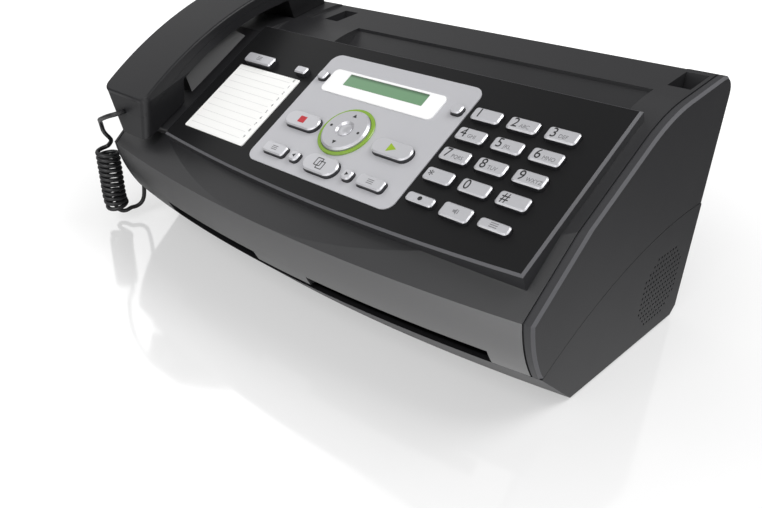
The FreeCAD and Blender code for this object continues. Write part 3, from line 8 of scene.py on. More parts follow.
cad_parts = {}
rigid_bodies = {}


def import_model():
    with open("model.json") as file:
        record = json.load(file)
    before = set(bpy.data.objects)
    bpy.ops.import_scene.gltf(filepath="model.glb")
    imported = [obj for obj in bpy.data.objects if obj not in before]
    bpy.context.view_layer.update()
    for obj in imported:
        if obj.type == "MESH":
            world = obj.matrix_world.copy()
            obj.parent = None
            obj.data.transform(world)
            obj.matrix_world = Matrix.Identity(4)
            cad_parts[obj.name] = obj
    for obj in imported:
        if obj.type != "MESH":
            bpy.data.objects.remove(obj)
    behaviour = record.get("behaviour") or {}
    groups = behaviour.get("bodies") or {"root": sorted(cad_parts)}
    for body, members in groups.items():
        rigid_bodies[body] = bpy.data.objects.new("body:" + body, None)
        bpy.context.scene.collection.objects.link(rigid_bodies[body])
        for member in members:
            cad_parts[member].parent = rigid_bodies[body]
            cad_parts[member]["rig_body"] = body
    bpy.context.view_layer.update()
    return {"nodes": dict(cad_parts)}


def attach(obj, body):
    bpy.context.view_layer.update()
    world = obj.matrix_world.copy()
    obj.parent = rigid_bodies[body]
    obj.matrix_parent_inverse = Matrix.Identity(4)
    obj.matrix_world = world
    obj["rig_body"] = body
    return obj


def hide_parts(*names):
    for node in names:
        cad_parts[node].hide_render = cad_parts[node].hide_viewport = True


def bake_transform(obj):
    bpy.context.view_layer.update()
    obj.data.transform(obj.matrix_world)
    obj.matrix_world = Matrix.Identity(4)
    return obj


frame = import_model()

bl_info = {
    "name": "Desktop fax machine",
    "version": (1, 0, 0),
    "blender": (4, 5, 0),
    "location": "View3D > Sidebar > Fax",
    "description": "Finishes, marks, handset cord and stage of a desktop fax machine",
    "category": "Object",
}

# The CAD pieces by name, and one millimetre in metres
NODES = frame["nodes"]
MM = 0.001


# Sizes and colours


def size_mm(name, description, default):
    """A length property, kept in millimetres."""
    return bpy.props.FloatProperty(name=name, description=description, default=default, unit="NONE")


def colour(name, description, code):
    """A colour property from an sRGB code, kept in linear values."""
    return bpy.props.FloatVectorProperty(
        name=name, description=description, default=linear(code), subtype="COLOR", size=3, min=0.0, max=1.0
    )


def linear(code):
    """Linear red, green and blue of an sRGB code such as 2b2b2c."""
    values = [int(code[i:i + 2], 16) / 255 for i in (0, 2, 4)]
    return tuple(v / 12.92 if v <= 0.04045 else ((v + 0.055) / 1.055) ** 2.4 for v in values)


class FaxSizes(bpy.types.PropertyGroup):
    """Sizes of the marks and the cord, in millimetres, and the panel's place."""

    panel_slope: bpy.props.FloatProperty(
        name="Panel slope", description="Slope of the key panel", default=math.radians(31.2), subtype="ANGLE"
    )
    panel_y: size_mm("Panel depth", "Depth of the panel's zero line", -21.818)
    panel_z: size_mm("Panel height", "Height of the panel's zero line", 123.736)
    mark_lift: size_mm("Mark lift", "How far a printed mark stands off its key", 0.02)
    mark_thickness: size_mm("Mark thickness", "Thickness of the printing ink", 0.06)
    digit_height: size_mm("Digit height", "Height of the figures on the number keys", 6.2)
    letter_height: size_mm("Letter height", "Height of the small letters on the number keys", 2.5)
    rule_pitch: size_mm("Rule pitch", "Distance between the card's ruled lines", 5.6)
    rule_width: size_mm("Rule width", "Width of the card's ruled lines", 0.22)
    wire: size_mm("Cord wire", "Outer diameter of the handset cord's wire", 3.2)
    coil_radius: size_mm("Coil radius", "Radius of the cord's curls at the wire's middle", 7.5)
    coil_pitch: size_mm("Coil pitch", "Distance between curls", 3.85)
    lead_pitch: size_mm("Lead pitch", "How slowly a lead sweeps round into the first curl", 45.0)
    lead_sweep: size_mm("Lead sweep", "Length over which a lead swings out to the coil's radius", 18.0)


class FaxColours(bpy.types.PropertyGroup):
    """Colours of the finishes and inks."""

    casing: colour("Casing", "Charcoal of the moulded casing", "222224")
    panel: colour("Panel", "Near-black of the key panel", "19191a")
    # Painted light: the grey on the bevels is a painted highlight, and the cheeks' rims and the panel's side
    # walls are painted lighter.
    bevel: colour("Bevel", "Grey of the polished bevels", "5e5e61")
    edge: colour("Edge", "Grey of the cheeks' smooth rims", "3c3c3e")
    panel_edge: colour("Panel edge", "Grey of the panel's smooth side walls", "2c2c2e")
    handset: colour("Handset", "Charcoal of the handset", "202022")
    silver: colour("Silver", "Silver paint of the display plate", "c6c6ca")
    key: colour("Keys", "Silver paint of the keys", "d6d6da")
    # Painted shade: the keys' sides are painted dark to stand for the shade round each key.
    key_side: colour("Key sides", "Dark plastic of the keys' unpainted sides", "3a3a3d")
    disc: colour("Disc", "Silver paint of the navigation disc", "cacace")
    ink: colour("Ink", "Dark printing ink", "1d1d1f")
    pale_ink: colour("Pale ink", "Grey printing ink of the small letters", "7a7a7d")
    rule_ink: colour("Rule ink", "Faint grey ink of the card's lines", "d2d2d2")
    number_ink: colour("Number ink", "Dark grey ink of the card's numbers", "5d5d60")
    stop_ink: colour("Stop ink", "Red ink of the stop mark", "b8323a")
    start_ink: colour("Start ink", "Yellow-green ink of the start mark", "8fae1e")
    ring: colour("Ring", "Green of the ring round the navigation disc", "7ea32f")
    display: colour("Display", "Grey-green of the display", "6f9673")
    paper: colour("Paper", "White of the card", "f4f4f2")
    bezel: colour("Bezel", "White of the display frame", "f6f6f6")
    cord: colour("Cord", "Black of the handset cord", "1b1b1d")
    rubber: colour("Rubber", "Black of rollers and feet", "151516")
    steel: colour("Steel", "Grey of rolled steel", "a6a8aa")
    board: colour("Board", "Green of the circuit boards", "1d5a34")
    film: colour("Film", "Black of the ink film", "0c0c0e")
    nylon: colour("Nylon", "Cream of the moulded gear", "dcd8c8")
    floor: colour("Floor", "Pale grey of the floor, which its glow makes white", "d0d0d0")


def sizes():
    """The sizes that the scene keeps."""
    return bpy.context.scene.fax_sizes


def colours():
    """The colours that the scene keeps."""
    return bpy.context.scene.fax_colours


# Meshes

# Depth under a key's highest point, in millimetres, that still counts as its top face
TOP_BAND = 0.05
# Height of a capital in parts of the font's size, how far letters are narrowed, and the steps in a bow
CAPITAL = 0.72
NARROWED = 0.86
LETTER_STEPS = 6


def panel_matrix():
    """Frame of the panel in metres: u across, v up the slope, h off the surface."""
    s = sizes()
    place = Matrix.Translation(Vector((0, s.panel_y * MM, s.panel_z * MM)))
    return place @ Matrix.Rotation(s.panel_slope, 4, "X")


def upright():
    """Direction square to the panel."""
    return panel_matrix().to_3x3() @ Vector((0, 0, 1))


def on_panel(points):
    """Points given in u, v and h, in millimetres, set on the panel in metres."""
    points = np.asarray(points, float) * MM
    m = np.array(panel_matrix())
    return points @ m[:3, :3].T + m[:3, 3]


def in_panel(node):
    """Vertices of a CAD node in the panel's u, v and h, in millimetres."""
    mesh = NODES[node].data
    flat = np.zeros(len(mesh.vertices) * 3)
    mesh.vertices.foreach_get("co", flat)
    m = np.array(panel_matrix())
    return (flat.reshape(-1, 3) - m[:3, 3]) @ m[:3, :3] / MM


def key_top(node):
    """Left, right, front and rear limits and the height of a key's top face."""
    points = in_panel(node)
    top = points[:, 2].max()
    face = points[points[:, 2] > top - TOP_BAND]
    return face[:, 0].min(), face[:, 0].max(), face[:, 1].min(), face[:, 1].max(), top


def new_piece(name, points, faces, material, body):
    """A mesh object made from points in metres, with its finish, that rides on a body where one is named."""
    mesh = bpy.data.meshes.new(name)
    mesh.from_pydata([tuple(p) for p in points], [], faces)
    mesh.update()
    piece = bpy.data.objects.new(name, mesh)
    bpy.context.scene.collection.objects.link(piece)
    mesh.materials.append(material)
    if body:
        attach(piece, body)
    return piece


def plate_mesh(outline, h0, h1):
    """Points and faces of a flat plate with a convex outline in u and v, from h0 to h1."""
    count = len(outline)
    points = [(u, v, h0) for u, v in outline] + [(u, v, h1) for u, v in outline]
    faces = [tuple(range(count - 1, -1, -1)), tuple(range(count, 2 * count))]
    for i in range(count):
        j = (i + 1) % count
        faces.append((i, j, count + j, count + i))
    return points, faces


def text_mesh(word, height, u, v, h0, h1, align="LEFT"):
    """Points and faces of a figure or letters, as thick as the ink, from h0 to h1 over the panel's plane."""
    curve = bpy.data.curves.new("word", "FONT")
    curve.body = word
    curve.align_x = align
    curve.align_y = "CENTER"
    curve.size = height / CAPITAL
    curve.resolution_u = LETTER_STEPS
    curve.extrude = (h1 - h0) / 2
    holder = bpy.data.objects.new("word", curve)
    bpy.context.scene.collection.objects.link(holder)
    bpy.context.view_layer.update()
    mesh = bpy.data.meshes.new_from_object(holder.evaluated_get(bpy.context.evaluated_depsgraph_get()))
    flat = [vertex.co.copy() for vertex in mesh.vertices]
    faces = [tuple(p.vertices) for p in mesh.polygons]
    bpy.data.objects.remove(holder)
    bpy.data.meshes.remove(mesh)
    points = [(u + p.x * NARROWED, v + p.y, (h0 + h1) / 2 + p.z) for p in flat]
    return points, faces


def dome_mesh(u, v, h, radius, rise, rings=8, count=32):
    """Points and faces of a shallow dome, h + rise (1 - (r / radius)^2), on a grid of rings and angles.

    Its flat underside is closed.
    """
    r = np.linspace(radius, radius / rings, rings)[:, None]
    a = np.linspace(0, 2 * np.pi, count, endpoint=False)[None, :]
    heights = h + rise * (1 - (r / radius) ** 2) + 0 * a
    grid = np.stack([u + r * np.cos(a), v + r * np.sin(a), heights], axis=-1).reshape(-1, 3)
    points = np.vstack([grid, [[u, v, h + rise]]])
    i = np.arange(rings - 1)[:, None] * count
    j = np.arange(count)[None, :]
    k = (j + 1) % count
    faces = np.stack([i + j, i + k, i + count + k, i + count + j], axis=-1).reshape(-1, 4).tolist()
    last = (rings - 1) * count
    faces += [[last + n, last + (n + 1) % count, rings * count] for n in range(count)]
    faces.append(list(range(count - 1, -1, -1)))
    return points, faces


def box_outline(u, v, half_u, half_v):
    """Corners of an upright rectangle in u and v."""
    left, right = u - half_u, u + half_u
    front, rear = v - half_v, v + half_v
    return [(left, front), (right, front), (right, rear), (left, rear)]


def ring_outline(u, v, radius, count=28):
    """Points of a circle in u and v."""
    angles = np.linspace(0, 2 * np.pi, count, endpoint=False)
    return [(u + radius * math.cos(a), v + radius * math.sin(a)) for a in angles]


def bar_outline(u0, v0, u1, v1, width):
    """Corners of a straight stroke between two points."""
    du, dv = u1 - u0, v1 - v0
    length = math.hypot(du, dv)
    a, b = -dv / length * width / 2, du / length * width / 2
    return [(u0 - a, v0 - b), (u1 - a, v1 - b), (u1 + a, v1 + b), (u0 + a, v0 + b)]


def join(parts):
    """One list of points and faces from several."""
    points = []
    faces = []
    for some_points, some_faces in parts:
        base = len(points)
        points += list(some_points)
        faces += [tuple(base + i for i in face) for face in some_faces]
    return points, faces


# Materials

# Size in millimetres of the broad, faint patches in every finish, and their share beside the grain
PATCH_MM = 45.0
PATCH_SHARE = 0.45
# How far the roughness strays with the grain, and the grain's height in millimetres
ROUGH_SPREAD = 0.06
GRAIN_HEIGHT = 0.05
COAT_ROUGHNESS = 0.15
# Cosine of the lean of the bevels that take a painted highlight, with the width of its band, and the cosine
# under which a face is a side wall that takes painted light or shade
PAINTED_HIGHLIGHT_LEAN = 0.707
PAINTED_HIGHLIGHT_BAND = 0.12
PAINTED_WALL_LEAN = 0.4


def add_node(tree, kind, links=None, **values):
    """Adds a shader node, sets its sockets and links others to them."""
    node = tree.nodes.new(kind)
    for name, value in values.items():
        if name in node.bl_rna.properties:
            setattr(node, name, value)
        else:
            node.inputs[name.replace("_", " ")].default_value = value
    for socket, source in (links or {}).items():
        tree.links.new(source, node.inputs[socket])
    return node


def ramp(tree, value, low, high, to_low, to_high):
    """Output that runs from to_low to to_high while a value runs from low to high."""
    node = add_node(
        tree,
        "ShaderNodeMapRange",
        {"Value": value},
        From_Min=low,
        From_Max=high,
        To_Min=to_low,
        To_Max=to_high,
    )
    return node.outputs["Result"]


def maths(tree, operation, *values):
    """Output of a sum on values, each an output of another node or a number."""
    node = add_node(tree, "ShaderNodeMath", operation=operation)
    for socket, value in zip(node.inputs, values):
        if isinstance(value, bpy.types.NodeSocket):
            tree.links.new(value, socket)
        else:
            socket.default_value = value
    return node.outputs[0]


def along(tree, vector, direction):
    """Output of a vector's length along a direction."""
    node = add_node(tree, "ShaderNodeVectorMath", {0: vector}, operation="DOT_PRODUCT")
    node.inputs[1].default_value = direction
    return node.outputs["Value"]


def blended(tree, share, source, tint):
    """Output that goes from a source colour to a fixed one by a share."""
    node = add_node(tree, "ShaderNodeMix", {"Factor": share, "A": source}, data_type="RGBA")
    node.inputs["B"].default_value = tint
    return node.outputs["Result"]


def rgba(values, gain=1.0):
    """A linear colour with full cover, made lighter or darker by a gain."""
    return (*[min(1.0, v * gain) for v in values], 1.0)


def grained(
    name, tone, roughness, grain_mm, bump, metallic=0.0, spread=0.10, specular=0.5, coat=0.0, painted_light_by_facing=None
):
    """A finish with a fine moulded or sprayed grain: colour, roughness and bump vary with noise.

    grain_mm is the size of the grain. The last argument holds a direction and two colours of painted light:
    faces that lean about 45 degrees from that direction are bevels and take the first, a painted highlight,
    and faces that stand along the direction are side walls and take the second, a painted lighter or darker
    tint.
    """
    material = bpy.data.materials.new(name)
    material.use_nodes = True
    tree = material.node_tree
    shader = tree.nodes["Principled BSDF"]
    place = add_node(tree, "ShaderNodeTexCoord").outputs["Object"]
    grain = add_node(tree, "ShaderNodeTexNoise", {"Vector": place}, Scale=1 / (grain_mm * MM), Detail=2.0)
    patch = add_node(tree, "ShaderNodeTexNoise", {"Vector": place}, Scale=1 / (PATCH_MM * MM), Detail=3.0)
    both = add_node(
        tree,
        "ShaderNodeMix",
        {"A": grain.outputs["Fac"], "B": patch.outputs["Fac"]},
        data_type="FLOAT",
        Factor=PATCH_SHARE,
    ).outputs["Result"]
    shade = add_node(tree, "ShaderNodeMix", {"Factor": both}, data_type="RGBA")
    shade.inputs["A"].default_value = rgba(tone, 1 - spread)
    shade.inputs["B"].default_value = rgba(tone, 1 + spread)
    skin = shade.outputs["Result"]
    # Painted light by facing: a highlight painted on bevels, and side walls painted lighter or darker as
    # light would fall on them.
    if painted_light_by_facing:
        direction, bevel_highlight_tint, painted_wall_tint = painted_light_by_facing
        facing = add_node(tree, "ShaderNodeTexCoord").outputs["Normal"]
        lean = maths(tree, "ABSOLUTE", along(tree, facing, direction))
        skin = blended(tree, maths(tree, "COMPARE", lean, PAINTED_HIGHLIGHT_LEAN, PAINTED_HIGHLIGHT_BAND), skin, rgba(bevel_highlight_tint))
        skin = blended(tree, maths(tree, "LESS_THAN", lean, PAINTED_WALL_LEAN), skin, rgba(painted_wall_tint))
    tree.links.new(skin, shader.inputs["Base Color"])
    rough = ramp(tree, both, 0.0, 1.0, roughness - ROUGH_SPREAD, roughness + ROUGH_SPREAD)
    tree.links.new(rough, shader.inputs["Roughness"])
    lift = add_node(
        tree, "ShaderNodeBump", {"Height": grain.outputs["Fac"]}, Strength=bump, Distance=GRAIN_HEIGHT * MM
    )
    tree.links.new(lift.outputs["Normal"], shader.inputs["Normal"])
    shader.inputs["Metallic"].default_value = metallic
    shader.inputs["Specular IOR Level"].default_value = specular
    shader.inputs["Coat Weight"].default_value = coat
    shader.inputs["Coat Roughness"].default_value = COAT_ROUGHNESS
    return material


def dress(material, *names):
    """Gives CAD nodes a finish."""
    for name in names:
        mesh = NODES[name].data
        mesh.materials.clear()
        mesh.materials.append(material)


# Operators

# The photograph's camera, solved from the machine's edges: place in millimetres, line of sight,
# focal length and sensor width in millimetres, and how far the picture was cropped off centre
CAMERA_PLACE = (321.8, -354.6, 261.5)
CAMERA_SIGHT = (-0.6085, 0.6059, -0.5125)
CAMERA_LENS = 36.79
CAMERA_SENSOR = 36.0
CAMERA_SHIFT = (0.0659, 0.0598)
PICTURE_SIZE = (762, 508)


class FAX_OT_camera(bpy.types.Operator):
    """Sets the camera where the photograph was taken from."""

    bl_idname = "fax.camera"
    bl_label = "Camera"

    def execute(self, context):
        data = bpy.data.cameras.new("camera")
        data.sensor_width = CAMERA_SENSOR
        data.lens = CAMERA_LENS
        data.shift_x, data.shift_y = CAMERA_SHIFT
        data.clip_start = 0.01
        data.dof.use_dof = False
        camera = bpy.data.objects.new("camera", data)
        context.scene.collection.objects.link(camera)
        forward = Vector(CAMERA_SIGHT).normalized()
        camera.location = Vector(CAMERA_PLACE) * MM
        camera.rotation_euler = forward.to_track_quat("-Z", "Y").to_euler()
        context.scene.camera = camera
        context.scene.render.resolution_x, context.scene.render.resolution_y = PICTURE_SIZE
        context.scene.render.resolution_percentage = 100
        return {"FINISHED"}


# The cord's middle line in millimetres: from the handset's end, down the coil's axis and up to the jack
CORD_ROUTE = (
    (-144.0, -87.96, 100.82),
    (-144.0, -93.8, 100.2),
    (-152.0, -96.5, 97.5),
    (-175.0, -91.0, 88.5),
    (-194.2, -80.2, 81.0),
    (-195.5, -77.6, 67.0),
    (-195.2, -77.4, 40.0),
    (-195.2, -77.4, 13.0),
    (-193.5, -72.0, 7.5),
    (-189.0, -56.0, 8.5),
    (-188.0, -54.0, 28.0),
    (-188.3, -54.5, 46.0),
    (-189.5, -58.0, 58.0),
    (-181.0, -58.0, 58.0),
)
COIL_TOP_Z = 57.0
COIL_LOW_Z = 11.0
# Steps of the spline from point to point, and steps in millimetres in which it is curled and the tube drawn
ROUTE_STEPS = 60
CURL_STEP = 0.15
TUBE_STEP = 0.9
# Length in millimetres over which the winding sets in, and the lower lead's sweep in parts of the upper one's
SET_IN = 3.0
LOWER_SWEEP = 0.6


def route_points(route):
    """Points in metres read from a NURBS spline that has the route's points as its control points."""
    curve = bpy.data.curves.new("route", "CURVE")
    curve.dimensions = "3D"
    curve.resolution_u = ROUTE_STEPS
    spline = curve.splines.new("NURBS")
    spline.points.add(len(route) - 1)
    for point, place in zip(spline.points, route):
        point.co = (*[c * MM for c in place], 1.0)
    spline.order_u = 3
    spline.use_endpoint_u = True
    holder = bpy.data.objects.new("route", curve)
    bpy.context.scene.collection.objects.link(holder)
    bpy.context.view_layer.update()
    mesh = bpy.data.meshes.new_from_object(holder.evaluated_get(bpy.context.evaluated_depsgraph_get()))
    points = np.array([vertex.co[:] for vertex in mesh.vertices])
    bpy.data.objects.remove(holder)
    bpy.data.meshes.remove(mesh)
    return points


def travel(points):
    """Distance along a line of points, from its start."""
    steps = np.linalg.norm(np.diff(points, axis=0), axis=1)
    return np.concatenate([[0.0], np.cumsum(steps)])


def carried_frames(points):
    """Two cross directions along a line, carried without twist."""
    ways = np.gradient(points, axis=0)
    ways /= np.linalg.norm(ways, axis=1)[:, None]
    first = np.cross(ways[0], (0.0, 0.0, 1.0))
    across = [first / np.linalg.norm(first)]
    for way in ways[1:]:
        side = across[-1] - way * np.dot(across[-1], way)
        across.append(side / np.linalg.norm(side))
    across = np.array(across)
    return across, np.cross(ways, across)


def smooth(t):
    """Eased step 3 t^2 - 2 t^3, from 0 to 1."""
    t = np.clip(t, 0.0, 1.0)
    return t * t * (3 - 2 * t)


def curled(points):
    """The helix p(s) + a(s) (c(s) cos f(s) - d(s) sin f(s)) along a line p with cross directions c and d.

    The radius a swells from the leads to the coil, and the phase f turns fast only on the coil. The first
    curl starts at the coil's left side.
    """
    s = sizes()
    length = travel(points)
    total = length[-1]
    spots = np.linspace(0, total, int(total / (CURL_STEP * MM)))
    line = np.stack([np.interp(spots, length, points[:, i]) for i in range(3)], axis=1)
    across, up = carried_frames(line)
    first = int(np.argmax(line[:, 2] < COIL_TOP_Z * MM))
    start, end = spots[first], spots[int(np.argmax(line[:, 2] < COIL_LOW_Z * MM))]
    sweep = s.lead_sweep * MM
    before = spots - start
    after = end - spots
    reach = s.coil_radius * MM * smooth(before / sweep + 1) * smooth(after / (LOWER_SWEEP * sweep) + 1)
    wound = smooth(before / (SET_IN * MM) + 0.5) * smooth(after / (SET_IN * MM) + 0.5)
    rate = 2 * np.pi * (wound / s.coil_pitch + (1 - wound) / s.lead_pitch) / MM
    turn = np.concatenate([[0.0], np.cumsum(np.diff(spots) * rate[1:])])
    left = math.atan2(up[first, 0], -across[first, 0])
    turn += left - turn[first]
    helix = line + reach[:, None] * (across * np.cos(turn)[:, None] - up * np.sin(turn)[:, None])
    distance = travel(helix)
    fine = np.linspace(0, distance[-1], int(distance[-1] / (TUBE_STEP * MM)))
    return np.stack([np.interp(fine, distance, helix[:, i]) for i in range(3)], axis=1)


def tube(points, radius, sides=12):
    """Points and faces of a round tube that follows a line, closed at its ends."""
    across, up = carried_frames(points)
    angles = np.linspace(0, 2 * np.pi, sides, endpoint=False)
    turned = angles[None, :, None]
    ring = np.cos(turned) * across[:, None, :] + np.sin(turned) * up[:, None, :]
    skin = (points[:, None, :] + radius * ring).reshape(-1, 3)
    i = np.arange(len(points) - 1)[:, None] * sides
    j = np.arange(sides)[None, :]
    k = (j + 1) % sides
    faces = np.stack([i + j, i + k, i + sides + k, i + sides + j], axis=-1).reshape(-1, 4).tolist()
    last = (len(points) - 1) * sides
    faces += [list(range(sides - 1, -1, -1)), list(range(last, last + sides))]
    return skin, faces


class FAX_OT_cord(bpy.types.Operator):
    """Makes the handset's curly cord as one tube, from the handset to its jack."""

    bl_idname = "fax.cord"
    bl_label = "Handset cord"

    def execute(self, context):
        s = sizes()
        line = curled(route_points(CORD_ROUTE))
        points, faces = tube(line, s.wire / 2 * MM)
        # Soft vinyl jacket, extruded and heat-set on a mandrel: satin black, a broad sheen on each curl.
        jacket = grained("cord_jacket", colours().cord, 0.42, 0.6, 0.10, specular=0.55)
        piece = new_piece("handset_cord", points, faces, jacket, None)
        piece.data.shade_smooth()
        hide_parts("curly_cord")
        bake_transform(piece)
        return {"FINISHED"}


class FAX_OT_casing(bpy.types.Operator):
    """Gives the casing, panel and handset their moulded finishes."""

    bl_idname = "fax.casing"
    bl_label = "Casing"

    def execute(self, context):
        c = colours()
        # Spark-textured ABS, injection moulded: charcoal, with a satin sheen that mirrors the table.
        dress(grained("casing_abs", c.casing, 0.42, 0.45, 0.22, specular=0.8), "cover_shell", "cradle")
        # The same plastic with a coarser spark texture: matte, with hardly any sheen.
        dress(grained("base_abs", c.casing, 0.58, 0.6, 0.28, specular=0.14), "base_shell")
        # The same matte plastic on the cheeks, with a painted highlight on the bevels and painted lighter
        # rims: a bright line round each end.
        painted_light_by_facing = ((1, 0, 0), c.bevel, c.edge)
        dress(grained("cheek_abs_painted_light", c.casing, 0.58, 0.6, 0.28, specular=0.14, painted_light_by_facing=painted_light_by_facing), "side_cheeks")
        # The same plastic in a smoother mould: nearly black, with a little more sheen, a painted highlight on
        # the bevels and painted lighter side walls.
        painted_light_by_facing = (upright(), c.bevel, c.panel_edge)
        dress(grained("panel_abs_painted_light", c.panel, 0.40, 0.4, 0.15, specular=0.24, painted_light_by_facing=painted_light_by_facing), "control_panel")
        # ABS, moulded in a satin tool: charcoal, with broad, soft highlights along the grip.
        handset = grained("handset_abs", c.handset, 0.42, 0.4, 0.15, specular=0.3)
        dress(handset, "handset_upper", "handset_lower")
        # Small ABS mouldings: black, plain satin.
        dress(
            grained("black_abs", c.panel, 0.38, 0.5, 0.10),
            "loudspeaker",
            "mains_inlet",
            "line_sockets",
            "scanner_bar",
            "handset_capsules",
            "hook_switch",
            "cord_plug",
        )
        return {"FINISHED"}


class FAX_OT_works(bpy.types.Operator):
    """Gives the mechanism inside its finishes."""

    bl_idname = "fax.works"
    bl_label = "Mechanism"

    def execute(self, context):
        c = colours()
        # Cold-rolled steel, cut and pressed: grey metal with a faint uneven grain.
        dress(
            grained("rolled_steel", c.steel, 0.36, 1.2, 0.08, metallic=1.0),
            "frame_plates",
            "base_screws",
            "hinge_pins",
            "stepper_motor",
            "thermal_head",
        )
        # Rubber, moulded and ground: dull black with a sanded surface.
        rubber = grained("roller_rubber", c.rubber, 0.75, 0.5, 0.30)
        dress(rubber, "rubber_feet", "platen_roller", "feed_roller")
        # Glass-fibre board, pressed and coated with green solder resist: glossy, slightly uneven.
        dress(grained("circuit_board", c.board, 0.30, 2.0, 0.06, coat=0.3), "circuit_boards", "key_board")
        # Ink film, coated and wound on a core: smooth glossy black.
        dress(grained("ink_film", c.film, 0.22, 3.0, 0.03), "film_supply_roll", "film_takeup_roll")
        # Nylon, injection moulded: cream and waxy.
        dress(grained("nylon", c.nylon, 0.45, 1.0, 0.05), "motor_pinion")
        return {"FINISHED"}


# Depth in millimetres of the shade at the display's upper edge, and how dark it gets
SHADE_DEPTH = 2.4
SHADE_GAIN = 0.35


class FAX_OT_display(bpy.types.Operator):
    """Finishes the silver plate, display, ring and card."""

    bl_idname = "fax.display"
    bl_label = "Display and plate"

    def shade_top(self, material, top):
        """Darkens a finish towards its upper edge, where the frame above throws its shade."""
        tree = material.node_tree
        skin = tree.nodes["Principled BSDF"].inputs["Base Color"]
        panel = panel_matrix()
        slope = panel.to_3x3() @ Vector((0, 1, 0))
        edge = top * MM + slope.dot(panel.translation)
        rise = along(tree, add_node(tree, "ShaderNodeTexCoord").outputs["Object"], slope)
        shade = ramp(tree, rise, edge - SHADE_DEPTH * MM, edge, 0.0, 1.0)
        tint = rgba(colours().display, SHADE_GAIN)
        tree.links.new(blended(tree, shade, skin.links[0].from_socket, tint), skin)

    def execute(self, context):
        c = colours()
        # Silver lacquer, sprayed on plastic: a fine flake with a satin surface.
        lacquer = grained("silver_lacquer", c.silver, 0.42, 0.25, 0.10, metallic=0.30, spread=0.05)
        dress(lacquer, "silver_plate")
        # White ABS, moulded in a polished tool: a gloss white frame.
        dress(grained("white_gloss", c.bezel, 0.25, 1.0, 0.02, spread=0.02), "display_bezel")
        # Tinted plastic, injection moulded: a glossy green ring.
        dress(grained("green_ring", c.ring, 0.25, 1.0, 0.02, spread=0.05, coat=0.5), "nav_ring")
        # Liquid-crystal display, laminated behind a clear window: flat grey-green with a glossy surface.
        glass = grained("display_green", c.display, 0.18, 0.8, 0.01, spread=0.03, coat=0.6)
        self.shade_top(glass, in_panel("display_glass")[:, 1].max())
        dress(glass, "display_glass")
        # Uncoated white card, rolled and cut: matte with a faint fibre.
        dress(grained("white_card", c.paper, 0.75, 0.7, 0.10, spread=0.015), "index_card")
        return {"FINISHED"}


# Margins of the card's lines in millimetres: left, right, above, and above and below together
CARD_LEFT = 2.5
CARD_RIGHT = 6.5
CARD_TOP = 4.0
CARD_ENDS = 6.0
# The card's numbers in millimetres: height, distance from the right edge, and rise over their line
NUMBER_HEIGHT = 2.4
NUMBER_INSET = 4.4
NUMBER_RISE = 2.2


class FAX_OT_card(bpy.types.Operator):
    """Rules the index card with fine lines and a column of numbers."""

    bl_idname = "fax.card"
    bl_label = "Index card"

    def execute(self, context):
        s = sizes()
        u0, u1, v0, v1, top = key_top("index_card")
        h0 = top + s.mark_lift
        h1 = h0 + s.mark_thickness
        count = int((v1 - v0 - CARD_ENDS) / s.rule_pitch)
        lines = []
        marks = []
        for i in range(count + 1):
            v = v1 - CARD_TOP - i * s.rule_pitch
            rule = bar_outline(u0 + CARD_LEFT, v, u1 - CARD_RIGHT, v, s.rule_width)
            lines.append(plate_mesh(rule, h0, h1))
            spot = (u1 - NUMBER_INSET, v + NUMBER_RISE)
            marks.append(text_mesh(str(i), NUMBER_HEIGHT, *spot, h0, h1, "CENTER"))
        # Offset ink, printed thin: faint grey, matte lines.
        faint = grained("rule_ink", colours().rule_ink, 0.7, 0.3, 0.02, spread=0.04)
        points, faces = join(lines)
        new_piece("card_rules", on_panel(points), faces, faint, "cover")
        # The same ink in dark grey: small matte numbers.
        grey = grained("number_ink", colours().number_ink, 0.7, 0.3, 0.02, spread=0.04)
        points, faces = join(marks)
        new_piece("card_numbers", on_panel(points), faces, grey, "cover")
        return {"FINISHED"}


LETTERS = {"2": "ABC", "3": "DEF", "4": "GHI", "5": "JKL", "6": "MNO", "7": "PQRS", "8": "TUV", "9": "WXYZ"}
# Places on the number keys in millimetres: figures and letters from the left edge, and how far some sit low
FIGURE_INSET = 1.6
LETTER_INSET = 6.6
LETTER_DROP = 1.2
STAR_DROP = 1.6
# Symbols in millimetres round the middle of their keys
STOP_HALF = (2.6, 2.4)
START_MARK = ((-2.4, -3.0), (3.2, 0.0), (-2.4, 3.0))
SHEET_HALF = (2.2, 2.6)
SHEET_PLACES = ((-1.6, 0.9), (1.0, -0.9))
SHEET_LINE = 0.5
DOT_RADIUS = 1.3
HORN_MARK = ((-1.6, -0.7), (-0.6, -0.7), (0.6, -1.7), (0.6, 1.7), (-0.6, 0.7), (-1.6, 0.7))
SOUND_STROKE = (1.4, 1.2, 0.4)
ROW_HALF = 2.2
ROW_RISES = (-1.2, 0.0, 1.2)
ROW_LINE = 0.45
STEP_MARK = ((-0.9, -1.2), (1.2, 0.0), (-0.9, 1.2))
# The navigation disc's marks in millimetres: distance from its middle, arrow and dots
NAV_REACH = 10.6
NAV_ARROW = ((-1.488, -1.2), (1.488, -1.2), (0.0, 1.2))
NAV_DOT = 0.9
# The domed knob in millimetres: depth of its foot in the disc, radius and rise
KNOB_FOOT = 1.0
KNOB_RADIUS = 4.7
KNOB_RISE = 1.3


def shifted(outline, u, v, way=1):
    """An outline moved to a place, turned half round where way is -1."""
    return [(u + a * way, v + b * way) for a, b in outline]


